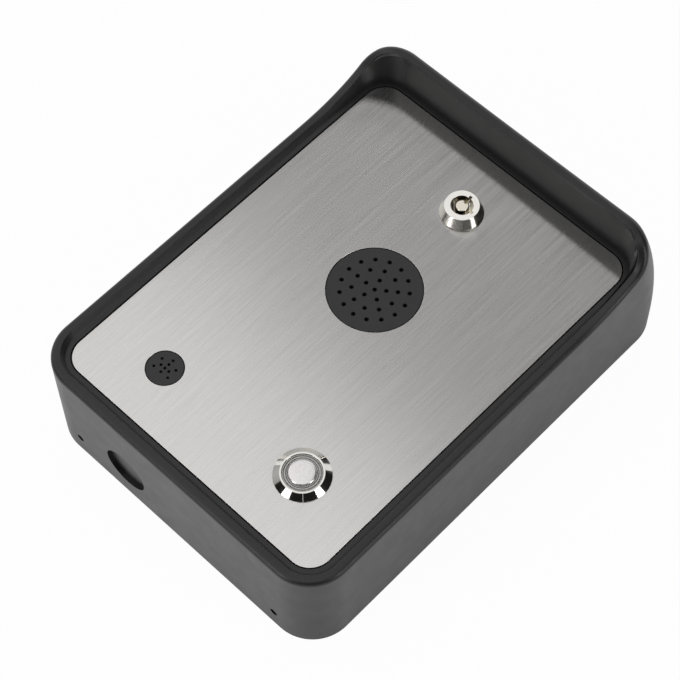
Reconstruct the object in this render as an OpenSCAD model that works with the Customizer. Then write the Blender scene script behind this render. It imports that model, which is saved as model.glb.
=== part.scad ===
// Emergency intercom: a hooded wall housing with a hinged, key-locked steel
// face plate that carries a speaker, a microphone and a lit call button.
// The part lies on its back: +Z comes out of the wall, +Y is up on the wall.

/* [Housing] */
// Width across the side walls
body_w = 146; // [138:1:170]
// Height of the back edge, from the foot to the top of the roof
body_h = 204; // [200:1:230]
// Height of the front of the face plate above the wall
front_z = 49; // [47:1:60]
// Outer corner radius, seen from the front
corner_r = 17.5; // [14:0.5:22]
// Thickness of the side walls
wall = 3; // [2.5:0.1:4]
// Thickness of the back wall
back_t = 3; // [2.5:0.1:4]
// Depth by which the back wall stands in from the wall edge
back_recess = 0.5; // [0.3:0.1:1]
// Height of the rim above the face plate
rim_rise = 2.7; // [2:0.1:4]
// Width of the rim and of the hood's front edge
rim_w = 4.1; // [3.6:0.1:5]
// Radius of the rim's outer edge
rim_fillet = 1.9; // [1:0.1:2.4]
// Radius of the rim's inner edge
rim_edge_r = 0.5; // [0.2:0.1:0.8]

/* [Hood] */
// Height of the hood's front edge above the face plate
hood_rise = 19.2; // [14:0.2:26]
// Length over which the rim sweeps up into the hood
hood_run = 50.8; // [44:0.2:60]
// Distance by which the roof leans in at its front edge
roof_lean = 12.4; // [6:0.2:14]
// Height of the straight part of the roof above the wall
roof_straight = 10; // [5:1:20]
// Dip of the hood's front edge at its middle
hood_sag = 0.9; // [0.2:0.1:2]

/* [Face plate] */
// Distance from the face plate to the housing's sides and foot
border_w = 8; // [7:0.1:10]
// Distance from the face plate's upper edge to the top of the roof
head_w = 19.5; // [18.5:0.5:26]
// Thickness of the face plate
plate_t = 2; // [1.5:0.1:2.5]
// Corner radius of the face plate
plate_r = 9.2; // [7:0.2:12]
// Gap between the face plate and its pocket
plate_gap = 0.5; // [0.5:0.1:1]
// Width of the flat ledge round the face plate, gap included
ledge_w = 2.5; // [2:0.1:3]
// Thickness of the gasket under the face plate
gasket_t = 1.5; // [1:0.1:2]
// Width of the gasket's strip
gasket_w = 2.4; // [2:0.1:2.6]
// Distance from the plate's edge to the gasket
gasket_inset = 1.8; // [1.6:0.1:2]
// Width of the shelf that carries the gasket, from the plate's edge
shelf_w = 4.5; // [4.4:0.1:6]
// Thickness of the shelf
shelf_t = 3; // [2:0.1:4]

/* [Speaker] */
// Distance from the lock's centre down to the speaker's centre
speaker_drop = 48.7; // [45:0.1:56]
// Radius of the speaker grille
speaker_r = 18.8; // [17.5:0.1:19.5]
// Distance between the grille's rings of holes
speaker_pitch = 4.48; // [4:0.02:4.6]
// Diameter of a hole in the speaker grille
sound_hole_d = 1.8; // [1:0.1:2]

/* [Microphone] */
// Distance from the plate's left edge to the microphone
mic_side = 31.5; // [28:0.5:40]
// Height of the microphone above the plate's lower edge
mic_up = 23.3; // [20:0.5:35]
// Radius of the microphone grille
mic_r = 7.4; // [6.5:0.1:9]
// Diameter of a hole in the microphone grille
mic_sound_d = 1.2; // [0.8:0.1:1.5]

/* [Call button] */
// Distance from the plate's right edge to the button
button_side = 30.2; // [28:0.1:40]
// Height of the button above the plate's lower edge
button_up = 26.9; // [24:0.5:35]
// Diameter of the button's head
button_head_d = 22; // [21.2:0.1:24]
// Diameter of the button's threaded barrel
button_barrel_d = 19; // [18.6:0.1:19.2]
// Height of the button's head above the plate
button_head_h = 2.2; // [1.6:0.1:3]
// Diameter of the part that is pressed
cap_d = 10.8; // [10:0.1:11.4]
// Height of the cap above the head
cap_rise = 0.5; // [0.3:0.1:0.8]
// Distance that the cap travels
cap_travel = 2; // [1.5:0.1:2.2]

/* [Lock] */
// Distance from the plate's upper edge down to the lock's centre
lock_drop = 25.8; // [25:0.1:30]
// Distance of the lock from the centre line, to the right
lock_side = 0.5; // [-5:0.5:5]
// Diameter of the lock's head where it meets the plate
lock_head_d = 17.6; // [16.8:0.2:20]
// Diameter of the lock's front face
lock_face_d = 14; // [13:0.2:15]
// Height of the lock's head above the plate
lock_head_h = 5; // [4:0.2:6]
// Outer diameter of the round keyway
keyway_d = 8.8; // [8.4:0.1:9.2]
// Diameter of the post in the keyway
post_d = 5.6; // [5:0.1:6]
// Diameter of the lock's threaded body
lock_thread_d = 15.8; // [15.2:0.1:16]
// Width of the lock's body across its two flats
lock_flat_w = 13.6; // [13:0.1:14]
// Length of the lock's body behind the plate's front
lock_body_l = 18; // [16:0.5:19]
// Reach of the cam from the lock's axis
cam_reach = 28; // [26:0.5:30]

/* [Circuit board] */
// Width of the circuit board
board_w = 96; // [90:1:100]
// Height of the circuit board
board_h = 100; // [90:1:104]
// Distance of the board's centre above the housing's centre
board_up = 10; // [6:1:12]
// Height of the bosses under the board, from the wall
boss_top_z = 12; // [10:0.5:14]

/* [Wall fixing] */
// Distance of the fixing holes from the housing's sides
fix_side = 18; // [14:0.5:22]
// Distance of the fixing holes from the housing's foot and head
fix_end = 22; // [18:0.5:30]
// Diameter of a fixing hole
fix_d = 4.6; // [4:0.1:5.5]
// Diameter of a cable knockout
knockout_d = 20; // [16:0.5:22]
// Distance of the knockout from the centre line, to the left
knockout_side = 26; // [16:1:32]
// Height of the knockout above the wall
knockout_z = 19.2; // [18:0.2:24]
// Depth of a knockout's recess
knockout_depth = 2.4; // [1:0.1:2.4]
// Diameter of a drain hole
drain_d = 3.4; // [2:0.1:4]
// Distance of the drain holes from the housing's sides
drain_side = 20.5; // [18:0.5:40]
// Height of the drain holes above the wall
drain_z = 10.3; // [8:0.1:12]

/* [Hidden] */

// Overrun that lets a cut pass cleanly through what it cuts
cut = 0.6;
// Running clearance between pieces that slide or turn in each other
slip = 0.1;
// Loose clearance round a piece that passes through a hole
loose = 0.2;
// Facets of a true circle
fine = 64;
// Steps round one corner of the housing
corner_steps = 8;
// Steps along the rim where it sweeps up into the hood
sweep_steps = 9;
// Steps along the hood's front edge
crest_steps = 6;
// Steps round the rim's outer edge
fillet_steps = 4;

black = [0.10, 0.10, 0.105];
steel = [0.74, 0.74, 0.73];
nickel = [0.80, 0.79, 0.76];
board_green = [0.05, 0.30, 0.16];

// Half sizes of the housing and the main levels
half_w = body_w / 2;
half_h = body_h / 2;
rim_z = front_z + rim_rise;
hood_z = front_z + hood_rise;
plate_back_z = front_z - plate_t;
shelf_z = plate_back_z - gasket_t;
shelf_under_z = shelf_z - shelf_t;
inner_back_z = back_recess + back_t;
plate_w = body_w - 2 * border_w;
plate_h = body_h - border_w - head_w;
plate_low = border_w - half_h;
plate_top = plate_low + plate_h;

// The rim's height follows two arcs that meet where they are steepest
sweep_rise = hood_z - rim_z;
sweep_angle = 2 * atan(sweep_rise / hood_run);
sweep_arcs = hood_run / sin(sweep_angle);
lower_arc_share = 0.77;
lower_arc_r = sweep_arcs * lower_arc_share;
upper_arc_r = sweep_arcs - lower_arc_r;
// The hood is fully up a little above its own front edge
hood_overshoot = 4;
sweep_end = half_h - roof_lean + hood_overshoot;
sweep_start = sweep_end - hood_run;
lower_arc_end = sweep_start + lower_arc_r * sin(sweep_angle);

function rim_height(y) =
    y <= sweep_start ? rim_z
    : y < lower_arc_end ? rim_z + lower_arc_r - sqrt(pow(lower_arc_r, 2) - pow(y - sweep_start, 2))
    : y < sweep_end ? hood_z - upper_arc_r + sqrt(pow(upper_arc_r, 2) - pow(sweep_end - y, 2))
    : hood_z;

// The roof is straight near the wall and then leans in along one arc
roof_rise = hood_z - roof_straight;
roof_r = (pow(roof_rise, 2) + pow(roof_lean, 2)) / (2 * roof_lean);
function roof_y(z) =
    half_h - (z <= roof_straight ? 0 : roof_r - sqrt(pow(roof_r, 2) - pow(z - roof_straight, 2)));

// Stations round the outline: [x side, y side, angle or share along that stretch]
stations = concat(
    [for (i = [0:corner_steps]) [1, -1, 270 + 90 * i / corner_steps]],
    [for (i = [0:sweep_steps - 1]) [1, 0, i / sweep_steps]],
    [for (i = [0:corner_steps]) [1, 1, 90 * i / corner_steps]],
    [for (i = [1:crest_steps - 1]) [0, 1, 1 - 2 * i / crest_steps]],
    [for (i = [0:corner_steps]) [-1, 1, 90 + 90 * i / corner_steps]],
    [for (i = [1:sweep_steps]) [-1, 0, 1 - i / sweep_steps]],
    [for (i = [0:corner_steps]) [-1, -1, 180 + 90 * i / corner_steps]]
);

// A station's place on a rounded rectangle of half width w, from y = low to y = top
function place(s, w, low, top, r) =
    s[1] == 0 ? [s[0] * w, sweep_start + (top - r - sweep_start) * s[2]]
    : s[0] == 0 ? [s[2] * (w - r), top]
    : [s[0] * (w - r) + r * cos(s[2]), (s[1] > 0 ? top - r : low + r) + r * sin(s[2])];

// Height of the rim at each station, with the dip along the hood's front edge
crest_top = roof_y(hood_z);
crest_z = [
    for (s = stations)
        rim_height(place(s, half_w, -half_h, crest_top, corner_r)[1])
        - (s[0] == 0 ? hood_sag * (1 - pow(s[2], 2)) : 0)
];

// One ring of the housing's skin, inset from the outer face at a height share or a level
function outer_ring(inset, share, drop) = [
    for (i = [0:len(stations) - 1])
        let (
            z = crest_z[i] * share - drop,
            p = place(stations[i], half_w - inset, inset - half_h, roof_y(z) - inset, corner_r - inset)
        ) [p[0], p[1], z]
];
function level_ring(w, low, top, r, z) = [
    for (s = stations) let (p = place(s, w, low, top, r)) [p[0], p[1], z]
];
// A ring that lies between the ledge round the plate and the rim's inner edge
function throat_ring(share) = [
    for (i = [0:len(stations) - 1])
        let (
            z = ledge_z + (crest_z[i] - rim_edge_r - ledge_z) * share,
            full = (z - ledge_z) / (hood_z - rim_edge_r - ledge_z),
            w = ledge_edge_w + (half_w - rim_w - ledge_edge_w) * share,
            low = ledge_low + (rim_w - half_h - ledge_low) * share,
            top = ledge_top + (crest_top - rim_w - ledge_top) * full,
            r = ledge_r + (corner_r - rim_w - ledge_r) * share,
            p = place(stations[i], w, low, top, r)
        ) [p[0], p[1], z]
];

// The ledge round the plate stands a hair above it
ledge_lift = 0.2;
ledge_z = front_z + ledge_lift;
ledge_edge_w = plate_w / 2 + ledge_w;
ledge_low = plate_low - ledge_w;
ledge_top = plate_top + ledge_w;
ledge_r = plate_r + ledge_w;

wall_shares = [0, 0.16, 0.4, 0.62, 0.82];
throat_shares = [1, 0.62, 0.3, 0.08, 0];

function plate_ring(out, z) =
    level_ring(plate_w / 2 + out, plate_low - out, plate_top + out, plate_r + out, z);
function inner_ring(z) =
    level_ring(half_w - wall, wall - half_h, roof_y(z) - wall, corner_r - wall, z);

rings = concat(
    [for (share = wall_shares) outer_ring(0, share, 0)],
    [
        for (i = [0:fillet_steps])
            let (a = 90 * i / fillet_steps)
            outer_ring(rim_fillet * (1 - cos(a)), 1, rim_fillet * (1 - sin(a)))
    ],
    [outer_ring(rim_w - rim_edge_r, 1, 0)],
    [for (share = throat_shares) throat_ring(share)],
    [
        plate_ring(plate_gap, ledge_z),
        plate_ring(plate_gap, shelf_z),
        plate_ring(-shelf_w, shelf_z),
        plate_ring(-shelf_w, shelf_under_z),
        inner_ring(shelf_under_z),
        inner_ring((shelf_under_z + roof_straight) / 2),
        inner_ring(roof_straight),
        inner_ring(0)
    ]
);

// Places on the plate and in the housing
mic_x = mic_side - plate_w / 2;
mic_y = plate_low + mic_up;
button_x = plate_w / 2 - button_side;
button_y = plate_low + button_up;
lock_x = lock_side;
lock_y = plate_top - lock_drop;
speaker_y = lock_y - speaker_drop;
// Ends of the lock's body and of the plug that turns in it
lock_end_z = front_z - lock_body_l;
cam_top_z = lock_end_z - 2 * slip;

module rounded(w, h, r) {
    union() {
        square([w - 2 * r, h], center = true);
        square([w, h - 2 * r], center = true);
        for (x = [-1, 1], y = [-1, 1])
            translate([x * (w / 2 - r), y * (h / 2 - r)])
                circle(r = r, $fn = fine);
    }
}

module disc(d, z0, z1) {
    translate([0, 0, z0])
        cylinder(d = d, h = z1 - z0, $fn = fine);
}

module tube(outer_d, inner_d, z0, z1) {
    difference() {
        disc(outer_d, z0, z1);
        disc(inner_d, z0 - cut, z1 + cut);
    }
}

module hex_nut(across, bore_d, z0, z1) {
    difference() {
        translate([0, 0, z0])
            cylinder(d = across / cos(30), h = z1 - z0, $fn = 6);
        disc(bore_d, z0 - cut, z1 + cut);
    }
}

module at_speaker() translate([0, speaker_y, 0]) children();
module at_mic() translate([mic_x, mic_y, 0]) children();
module at_button() translate([button_x, button_y, 0]) children();
module at_lock() translate([lock_x, lock_y, 0]) children();

// Housing

// Width and thickness of the rib that the cam turns behind
strike_w = 20;
strike_t = 3.5;
strike_gap = 0.3;
strike_z = cam_top_z + strike_gap;
// Diameter of the bosses and of their screw holes
board_boss_d = 8;
board_hole_d = 2.4;
fix_boss_d = 12;
fix_boss_h = 2;
board_screw_inset = 6;
boss_x = board_w / 2 - board_screw_inset;
boss_y = board_h / 2 - board_screw_inset;
// Distance of the rear knockout below the housing's centre
rear_knockout_down = 68;

module skin() {
    count = len(stations);
    last = len(rings) - 1;
    points = [for (ring = rings) each ring];
    faces = [
        for (k = [0:last], i = [0:count - 1])
            let (
                j = (i + 1) % count,
                n = (k + 1) % (last + 1),
                a = k * count + i,
                b = k * count + j,
                c = n * count + j,
                d = n * count + i
            )
            each [[a, c, b], [a, d, c]]
    ];
    polyhedron(points = points, faces = faces);
}

module board_bosses() {
    for (x = [-boss_x, boss_x], y = [-boss_y, boss_y])
        translate([x, board_up + y, 0])
            disc(board_boss_d, inner_back_z - cut, boss_top_z);
}

module fixing_places() {
    for (x = [fix_side - half_w, half_w - fix_side], y = [fix_end - half_h, half_h - fix_end])
        translate([x, y, 0])
            children();
}

module strike_rib() {
    reach = plate_top - shelf_w;
    translate([lock_x - strike_w / 2, reach, strike_z])
        cube([strike_w, roof_y(strike_z + strike_t) - wall / 2 - reach, strike_t]);
}

module housing() {
    color(black)
        difference() {
            union() {
                skin();
                translate([0, 0, back_recess])
                    linear_extrude(back_t)
                        rounded(body_w - wall, body_h - wall, corner_r - wall / 2);
                board_bosses();
                fixing_places()
                    disc(fix_boss_d, inner_back_z - cut, inner_back_z + fix_boss_h);
                strike_rib();
            }
            for (x = [-boss_x, boss_x], y = [-boss_y, boss_y])
                translate([x, board_up + y, 0])
                    disc(board_hole_d, inner_back_z, boss_top_z + cut);
            fixing_places()
                disc(fix_d, -cut, inner_back_z + fix_boss_h + cut);
            translate([-knockout_side, -half_h - cut, knockout_z])
                rotate([-90, 0, 0])
                    cylinder(d = knockout_d, h = knockout_depth + cut, $fn = fine);
            for (x = [drain_side - half_w, half_w - drain_side])
                translate([x, -half_h - cut, drain_z])
                    rotate([-90, 0, 0])
                        cylinder(d = drain_d, h = wall + 2 * cut, $fn = fine);
            translate([0, -rear_knockout_down, 0])
                disc(knockout_d, -cut, back_recess + knockout_depth);
        }
}

// Gasket

module plate_outline(out) {
    translate([0, (plate_low + plate_top) / 2])
        rounded(plate_w + 2 * out, plate_h + 2 * out, plate_r + out);
}

module plate_gasket() {
    color([0.06, 0.06, 0.06])
        translate([0, 0, shelf_z])
            linear_extrude(gasket_t)
                difference() {
                    plate_outline(-gasket_inset);
                    plate_outline(-gasket_inset - gasket_w);
                }
}

// Face plate with its hooks and studs

speaker_hole_d = 2 * (speaker_r + loose);
mic_hole_d = 2 * (mic_r + slip);
button_hole_d = button_barrel_d + 2 * slip;

module lock_section(gap) {
    intersection() {
        circle(d = lock_thread_d + 2 * gap, $fn = fine);
        square([lock_thread_d + 2 * gap, lock_flat_w + 2 * gap], center = true);
    }
}

module face_plate() {
    color(steel)
        difference() {
            translate([0, 0, plate_back_z])
                linear_extrude(plate_t)
                    plate_outline(0);
            at_speaker() disc(speaker_hole_d, plate_back_z - cut, front_z + cut);
            at_mic() disc(mic_hole_d, plate_back_z - cut, front_z + cut);
            at_button() disc(button_hole_d, plate_back_z - cut, front_z + cut);
            at_lock()
                translate([0, 0, plate_back_z - cut])
                    linear_extrude(plate_t + 2 * cut)
                        lock_section(slip);
        }
}

// Sheet thickness, width and sizes of the two hooks
hook_t = 1.5;
hook_w = 14;
hook_flange = 8;
hook_foot = 5.5;
hook_spacing = 76;
// Gaps from the shelf to the hook's leg and to the foot that reaches under it
hook_gap = 0.7;
hook_play = 1.5;
hook_y = plate_low + shelf_w + hook_gap;
hook_low_z = shelf_under_z - hook_play - hook_t;

module hinge_hooks() {
    profile = [
        [hook_y, plate_back_z],
        [hook_y + hook_flange, plate_back_z],
        [hook_y + hook_flange, plate_back_z - hook_t],
        [hook_y + hook_t, plate_back_z - hook_t],
        [hook_y + hook_t, hook_low_z],
        [hook_y - hook_foot, hook_low_z],
        [hook_y - hook_foot, hook_low_z + hook_t],
        [hook_y, hook_low_z + hook_t]
    ];
    color(steel)
        for (x = [-hook_spacing / 2, hook_spacing / 2])
            translate([x - hook_w / 2, 0, 0])
                rotate([90, 0, 90])
                    linear_extrude(hook_w)
                        polygon(profile);
}

// Radius of the circle of studs round the speaker
stud_circle_r = 25.5;
stud_d = 3;
stud_l = 7.5;
stud_angles = [90, 210, 330];

module stud_places() {
    at_speaker()
        for (a = stud_angles)
            rotate([0, 0, a])
                translate([stud_circle_r, 0, 0])
                    children();
}

module plate_studs() {
    color(steel)
        stud_places()
            disc(stud_d, plate_back_z - stud_l, plate_back_z);
}

// Speaker

grille_flange_t = 1.2;
grille_flange_w = 2.6;
mesh_t = 0.4;
basket_rim_t = 1.2;
basket_d = 40;
basket_inner_d = 34;
basket_h = 7.2;
basket_wall = 0.8;
magnet_d = 26;
magnet_h = 6;
yoke_d = 24;
yoke_t = 1.5;
vent_d = 4;
clamp_t = 1.5;
clamp_d = 46;
clamp_ear_d = 9;
mesh_z = plate_back_z - grille_flange_t;
basket_z = mesh_z - mesh_t;
clamp_z = basket_z - basket_rim_t;
magnet_z = basket_z - basket_h;

module sound_holes(z0, z1) {
    disc(sound_hole_d, z0, z1);
    for (ring = [1:3], i = [0:5 * ring - 1])
        rotate([0, 0, (i + 0.5 * (ring % 2)) * 72 / ring])
            translate([ring * speaker_pitch, 0, 0])
                disc(sound_hole_d, z0, z1);
}

module speaker_grille() {
    color(black)
        at_speaker()
            difference() {
                union() {
                    disc(2 * speaker_r, mesh_z, front_z);
                    disc(2 * (speaker_r + grille_flange_w), mesh_z, plate_back_z);
                }
                sound_holes(mesh_z - cut, front_z + cut);
            }
}

module speaker_mesh() {
    color([0.2, 0.2, 0.2])
        at_speaker()
            disc(basket_d, basket_z, mesh_z);
}

module speaker_basket() {
    color([0.35, 0.36, 0.37])
        at_speaker()
            rotate_extrude($fn = fine)
                polygon([
                    [basket_inner_d / 2, basket_z],
                    [basket_d / 2, basket_z],
                    [basket_d / 2, clamp_z],
                    [basket_inner_d / 2 + basket_wall, clamp_z],
                    [magnet_d / 2, magnet_z],
                    [0, magnet_z],
                    [0, magnet_z + basket_wall],
                    [magnet_d / 2 - basket_wall, magnet_z + basket_wall],
                    [basket_inner_d / 2, clamp_z]
                ]);
}

cone_gap = 0.6;
cone_depth = 4.4;
dust_cap_d = 12;

module speaker_cone() {
    top = basket_z - cone_gap;
    color([0.12, 0.12, 0.12])
        at_speaker()
            rotate_extrude($fn = fine)
                polygon([
                    [0, top - cone_depth / 2],
                    [dust_cap_d / 2, top - cone_depth + cone_gap],
                    [basket_inner_d / 2 - slip, top],
                    [basket_inner_d / 2 - slip, top - cone_gap],
                    [dust_cap_d / 2, top - cone_depth],
                    [0, top - cone_depth / 2 - cone_gap]
                ]);
}

module speaker_magnet() {
    low = magnet_z - magnet_h;
    color([0.3, 0.3, 0.3])
        at_speaker()
            difference() {
                union() {
                    disc(yoke_d, low, magnet_z);
                    disc(magnet_d, low + yoke_t, magnet_z - yoke_t);
                }
                disc(vent_d, low - cut, low + yoke_t);
            }
}

module speaker_clamp() {
    color(steel)
        difference() {
            union() {
                at_speaker() disc(clamp_d, clamp_z - clamp_t, clamp_z);
                stud_places() disc(clamp_ear_d, clamp_z - clamp_t, clamp_z);
            }
            at_speaker() disc(basket_inner_d + 4 * basket_wall, clamp_z - clamp_t - cut, clamp_z + cut);
            stud_places() disc(stud_d + 2 * loose, clamp_z - clamp_t - cut, clamp_z + cut);
        }
}

nut_across = 5.5;
nut_h = 2.4;

module speaker_nuts() {
    color(nickel)
        stud_places()
            hex_nut(nut_across, stud_d + 2 * slip, clamp_z - clamp_t - nut_h, clamp_z - clamp_t);
}

// Microphone

mic_flange_w = 2;
mic_flange_t = 1;
capsule_d = 9.7;
capsule_h = 6.5;
boot_wall = 2.4;
mic_inner_hole_r = 2.1;
mic_outer_hole_r = 4.3;

module mic_holes(z0, z1) {
    disc(mic_sound_d, z0, z1);
    for (a = [0:90:270])
        rotate([0, 0, a])
            translate([mic_inner_hole_r, 0, 0])
                disc(mic_sound_d, z0, z1);
    for (a = [-30:60:210])
        rotate([0, 0, a])
            translate([mic_outer_hole_r, 0, 0])
                disc(mic_sound_d, z0, z1);
}

module mic_grille() {
    color(black)
        at_mic()
            difference() {
                union() {
                    disc(2 * mic_r, plate_back_z - mic_flange_t, front_z);
                    disc(2 * (mic_r + mic_flange_w), plate_back_z - mic_flange_t, plate_back_z);
                }
                mic_holes(plate_back_z - mic_flange_t - cut, front_z + cut);
            }
}

module mic_boot() {
    top = plate_back_z - mic_flange_t;
    color([0.08, 0.08, 0.08])
        at_mic()
            difference() {
                disc(capsule_d + 2 * boot_wall, top - capsule_h, top);
                disc(capsule_d + 2 * slip, top - capsule_h - cut, top + cut);
            }
}

module mic_capsule() {
    top = plate_back_z - mic_flange_t;
    color([0.75, 0.76, 0.77])
        at_mic()
            disc(capsule_d, top - capsule_h, top);
}

// Call button

head_top_d = 16.8;
light_ring_d = 15.1;
barrel_l = 20;
barrel_wall = 1;
head_z = front_z + button_head_h;
barrel_end_z = front_z - barrel_l;
seal_w = 0.55;
seal_h = 0.5;
seal_d = button_barrel_d + 2 * slip;
light_ring_h = 6;
light_ring_drop = 0.2;
light_flange_w = 0.6;
light_flange_h = 2;
light_bore_d = cap_d + 2 * slip;
cap_z = head_z + cap_rise;
cap_h = 4;
stem_d = 4;
stem_l = 13.6;
base_top_z = front_z - 9;
base_end_z = barrel_end_z - 7;
base_shoulder_l = 3;
spring_outer_d = 6;
spring_pocket_d = spring_outer_d + 2 * loose;
spring_pocket_h = 5;
terminal_w = 2.8;
terminal_t = 0.6;
terminal_l = 6;
terminal_pitch = 4.5;
button_nut_across = 22;
button_nut_h = 3;

module button_bezel() {
    color(nickel)
        at_button()
            difference() {
                union() {
                    disc(button_barrel_d, barrel_end_z, front_z);
                    translate([0, 0, front_z])
                        cylinder(
                            d1 = button_head_d,
                            d2 = head_top_d,
                            h = button_head_h,
                            $fn = fine
                        );
                }
                disc(light_ring_d + 2 * slip, head_z - light_ring_h - cut, head_z + cut);
                disc(button_barrel_d - 2 * barrel_wall, barrel_end_z - cut, head_z - light_ring_h);
                tube(seal_d + 2 * seal_w, seal_d, front_z - cut, front_z + seal_h);
            }
}

module button_seal() {
    color([0.06, 0.06, 0.06])
        at_button()
            tube(seal_d + 2 * seal_w, seal_d, front_z, front_z + seal_h);
}

module button_light_ring() {
    low = head_z - light_ring_h;
    color([0.8, 0.82, 0.84, 0.8])
        at_button()
            difference() {
                union() {
                    disc(light_ring_d, low, head_z - light_ring_drop);
                    disc(light_ring_d + 2 * light_flange_w, low - light_flange_h, low);
                }
                disc(light_bore_d, low - light_flange_h - cut, head_z + cut);
            }
}

module button_cap() {
    color([0.86, 0.85, 0.85])
        at_button() {
            disc(cap_d, cap_z - cap_h, cap_z);
            disc(stem_d, cap_z - cap_h - stem_l, cap_z - cap_h);
        }
}

// The return spring stands between the cap and the floor of its pocket
module button_spring() {
    color(nickel)
        at_button()
            tube(spring_outer_d, stem_d + 2 * loose, base_top_z - spring_pocket_h, cap_z - cap_h);
}

module button_base() {
    inner_d = button_barrel_d - 2 * barrel_wall - 2 * loose;
    color([0.12, 0.12, 0.13])
        at_button()
            difference() {
                union() {
                    disc(inner_d, base_end_z, base_top_z);
                    disc(button_barrel_d, barrel_end_z - base_shoulder_l, barrel_end_z);
                }
                disc(spring_pocket_d, base_top_z - spring_pocket_h, base_top_z + cut);
                disc(stem_d + 2 * loose, base_end_z + base_shoulder_l, base_top_z);
            }
}

module button_nut() {
    color(nickel)
        at_button()
            hex_nut(
                button_nut_across,
                button_barrel_d + 2 * slip,
                plate_back_z - button_nut_h,
                plate_back_z
            );
}

module button_terminals() {
    color([0.85, 0.75, 0.45])
        at_button()
            for (x = [-terminal_pitch, 0, terminal_pitch], y = [-terminal_pitch / 2, terminal_pitch / 2])
                translate([x - terminal_w / 2, y - terminal_t / 2, base_end_z - terminal_l])
                    cube([terminal_w, terminal_t, terminal_l]);
}

// Lock

lip_h = 0.6;
keyway_depth = 7;
notch_w = 1.3;
notch_reach = 1.1;
post_drop = 0.3;
plug_d = 11;
plug_wall_z = front_z + lock_head_h - keyway_depth;
lock_nut_across = 21;
lock_nut_h = 3.5;
tail_w = 6.5;
cam_t = 2;
cam_w = 14;
cam_tip_w = 10;
cam_z = cam_top_z - cam_t;
cam_screw_d = 9;
cam_screw_h = 2.4;
slot_w = 1;

module lock_barrel() {
    face_z = front_z + lock_head_h;
    color(nickel)
        at_lock()
            difference() {
                union() {
                    disc(lock_head_d, front_z, front_z + lip_h);
                    translate([0, 0, front_z + lip_h])
                        cylinder(
                            d1 = lock_head_d,
                            d2 = lock_face_d,
                            h = lock_head_h - lip_h,
                            $fn = fine
                        );
                    translate([0, 0, lock_end_z])
                        linear_extrude(lock_body_l)
                            lock_section(0);
                }
                disc(keyway_d, plug_wall_z - cut, face_z + cut);
                disc(plug_d + 2 * slip, lock_end_z - cut, plug_wall_z);
                for (a = [0, 90])
                    rotate([0, 0, a])
                        translate([0, -notch_w / 2, front_z])
                            cube([keyway_d / 2 + notch_reach, notch_w, lock_head_h + cut]);
            }
}

// The plug's post stands in the keyway with its notch upwards
module lock_plug() {
    color([0.62, 0.58, 0.50])
        at_lock()
            difference() {
                union() {
                    disc(post_d, plug_wall_z - cut, front_z + lock_head_h - post_drop);
                    disc(plug_d, cam_top_z, plug_wall_z - slip);
                    translate([-tail_w / 2, -tail_w / 2, cam_z])
                        cube([tail_w, tail_w, cam_t + cut]);
                }
                translate([-notch_w / 2, post_d / 2 - notch_w, plug_wall_z])
                    cube([notch_w, notch_w + cut, keyway_depth]);
            }
}

module lock_nut() {
    color(nickel)
        at_lock()
            hex_nut(
                lock_nut_across,
                lock_thread_d + 2 * slip,
                plate_back_z - lock_nut_h,
                plate_back_z
            );
}

// The cam lies to the left while the lock is open
module lock_cam() {
    color(steel)
        at_lock()
            translate([0, 0, cam_z])
                linear_extrude(cam_t)
                    difference() {
                        union() {
                            circle(d = cam_w, $fn = fine);
                            polygon([
                                [0, -cam_w / 2],
                                [0, cam_w / 2],
                                [-cam_reach, cam_tip_w / 2],
                                [-cam_reach, -cam_tip_w / 2]
                            ]);
                        }
                        square(tail_w, center = true);
                    }
}

module cross_slot(d, z, depth) {
    for (a = [0, 90])
        rotate([0, 0, a])
            translate([-d / 2, -slot_w / 2, z])
                cube([d, slot_w, depth]);
}

module cam_screw() {
    color(nickel)
        at_lock()
            difference() {
                disc(cam_screw_d, cam_z - cam_screw_h, cam_z);
                cross_slot(cam_screw_d / 2, cam_z - cam_screw_h - cut, cam_screw_h / 2 + cut);
            }
}

// Circuit board and what it carries

board_t = 1.6;
board_top_z = boss_top_z + board_t;
board_low = board_up - board_h / 2;
board_screw_d = 3;
board_screw_l = 8;
board_screw_head_d = 5.6;
board_screw_head_h = 2;

module board_screw_places() {
    for (x = [-boss_x, boss_x], y = [-boss_y, boss_y])
        translate([x, board_up + y, 0])
            children();
}

module circuit_board() {
    color(board_green)
        difference() {
            translate([-board_w / 2, board_low, boss_top_z])
                cube([board_w, board_h, board_t]);
            board_screw_places()
                disc(board_screw_d + 2 * loose, boss_top_z - cut, board_top_z + cut);
        }
}

module board_screws() {
    color(nickel)
        board_screw_places()
            difference() {
                union() {
                    disc(board_screw_head_d, board_top_z, board_top_z + board_screw_head_h);
                    disc(board_hole_d - 2 * slip, board_top_z - board_screw_l, board_top_z);
                }
                cross_slot(board_screw_d, board_top_z + board_screw_head_h / 2, board_screw_head_h);
            }
}

// A block that stands on the board, with its near corner at a place on the board
module on_board(place, size) {
    translate([place[0], board_low + place[1], board_top_z])
        cube(size);
}

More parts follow.
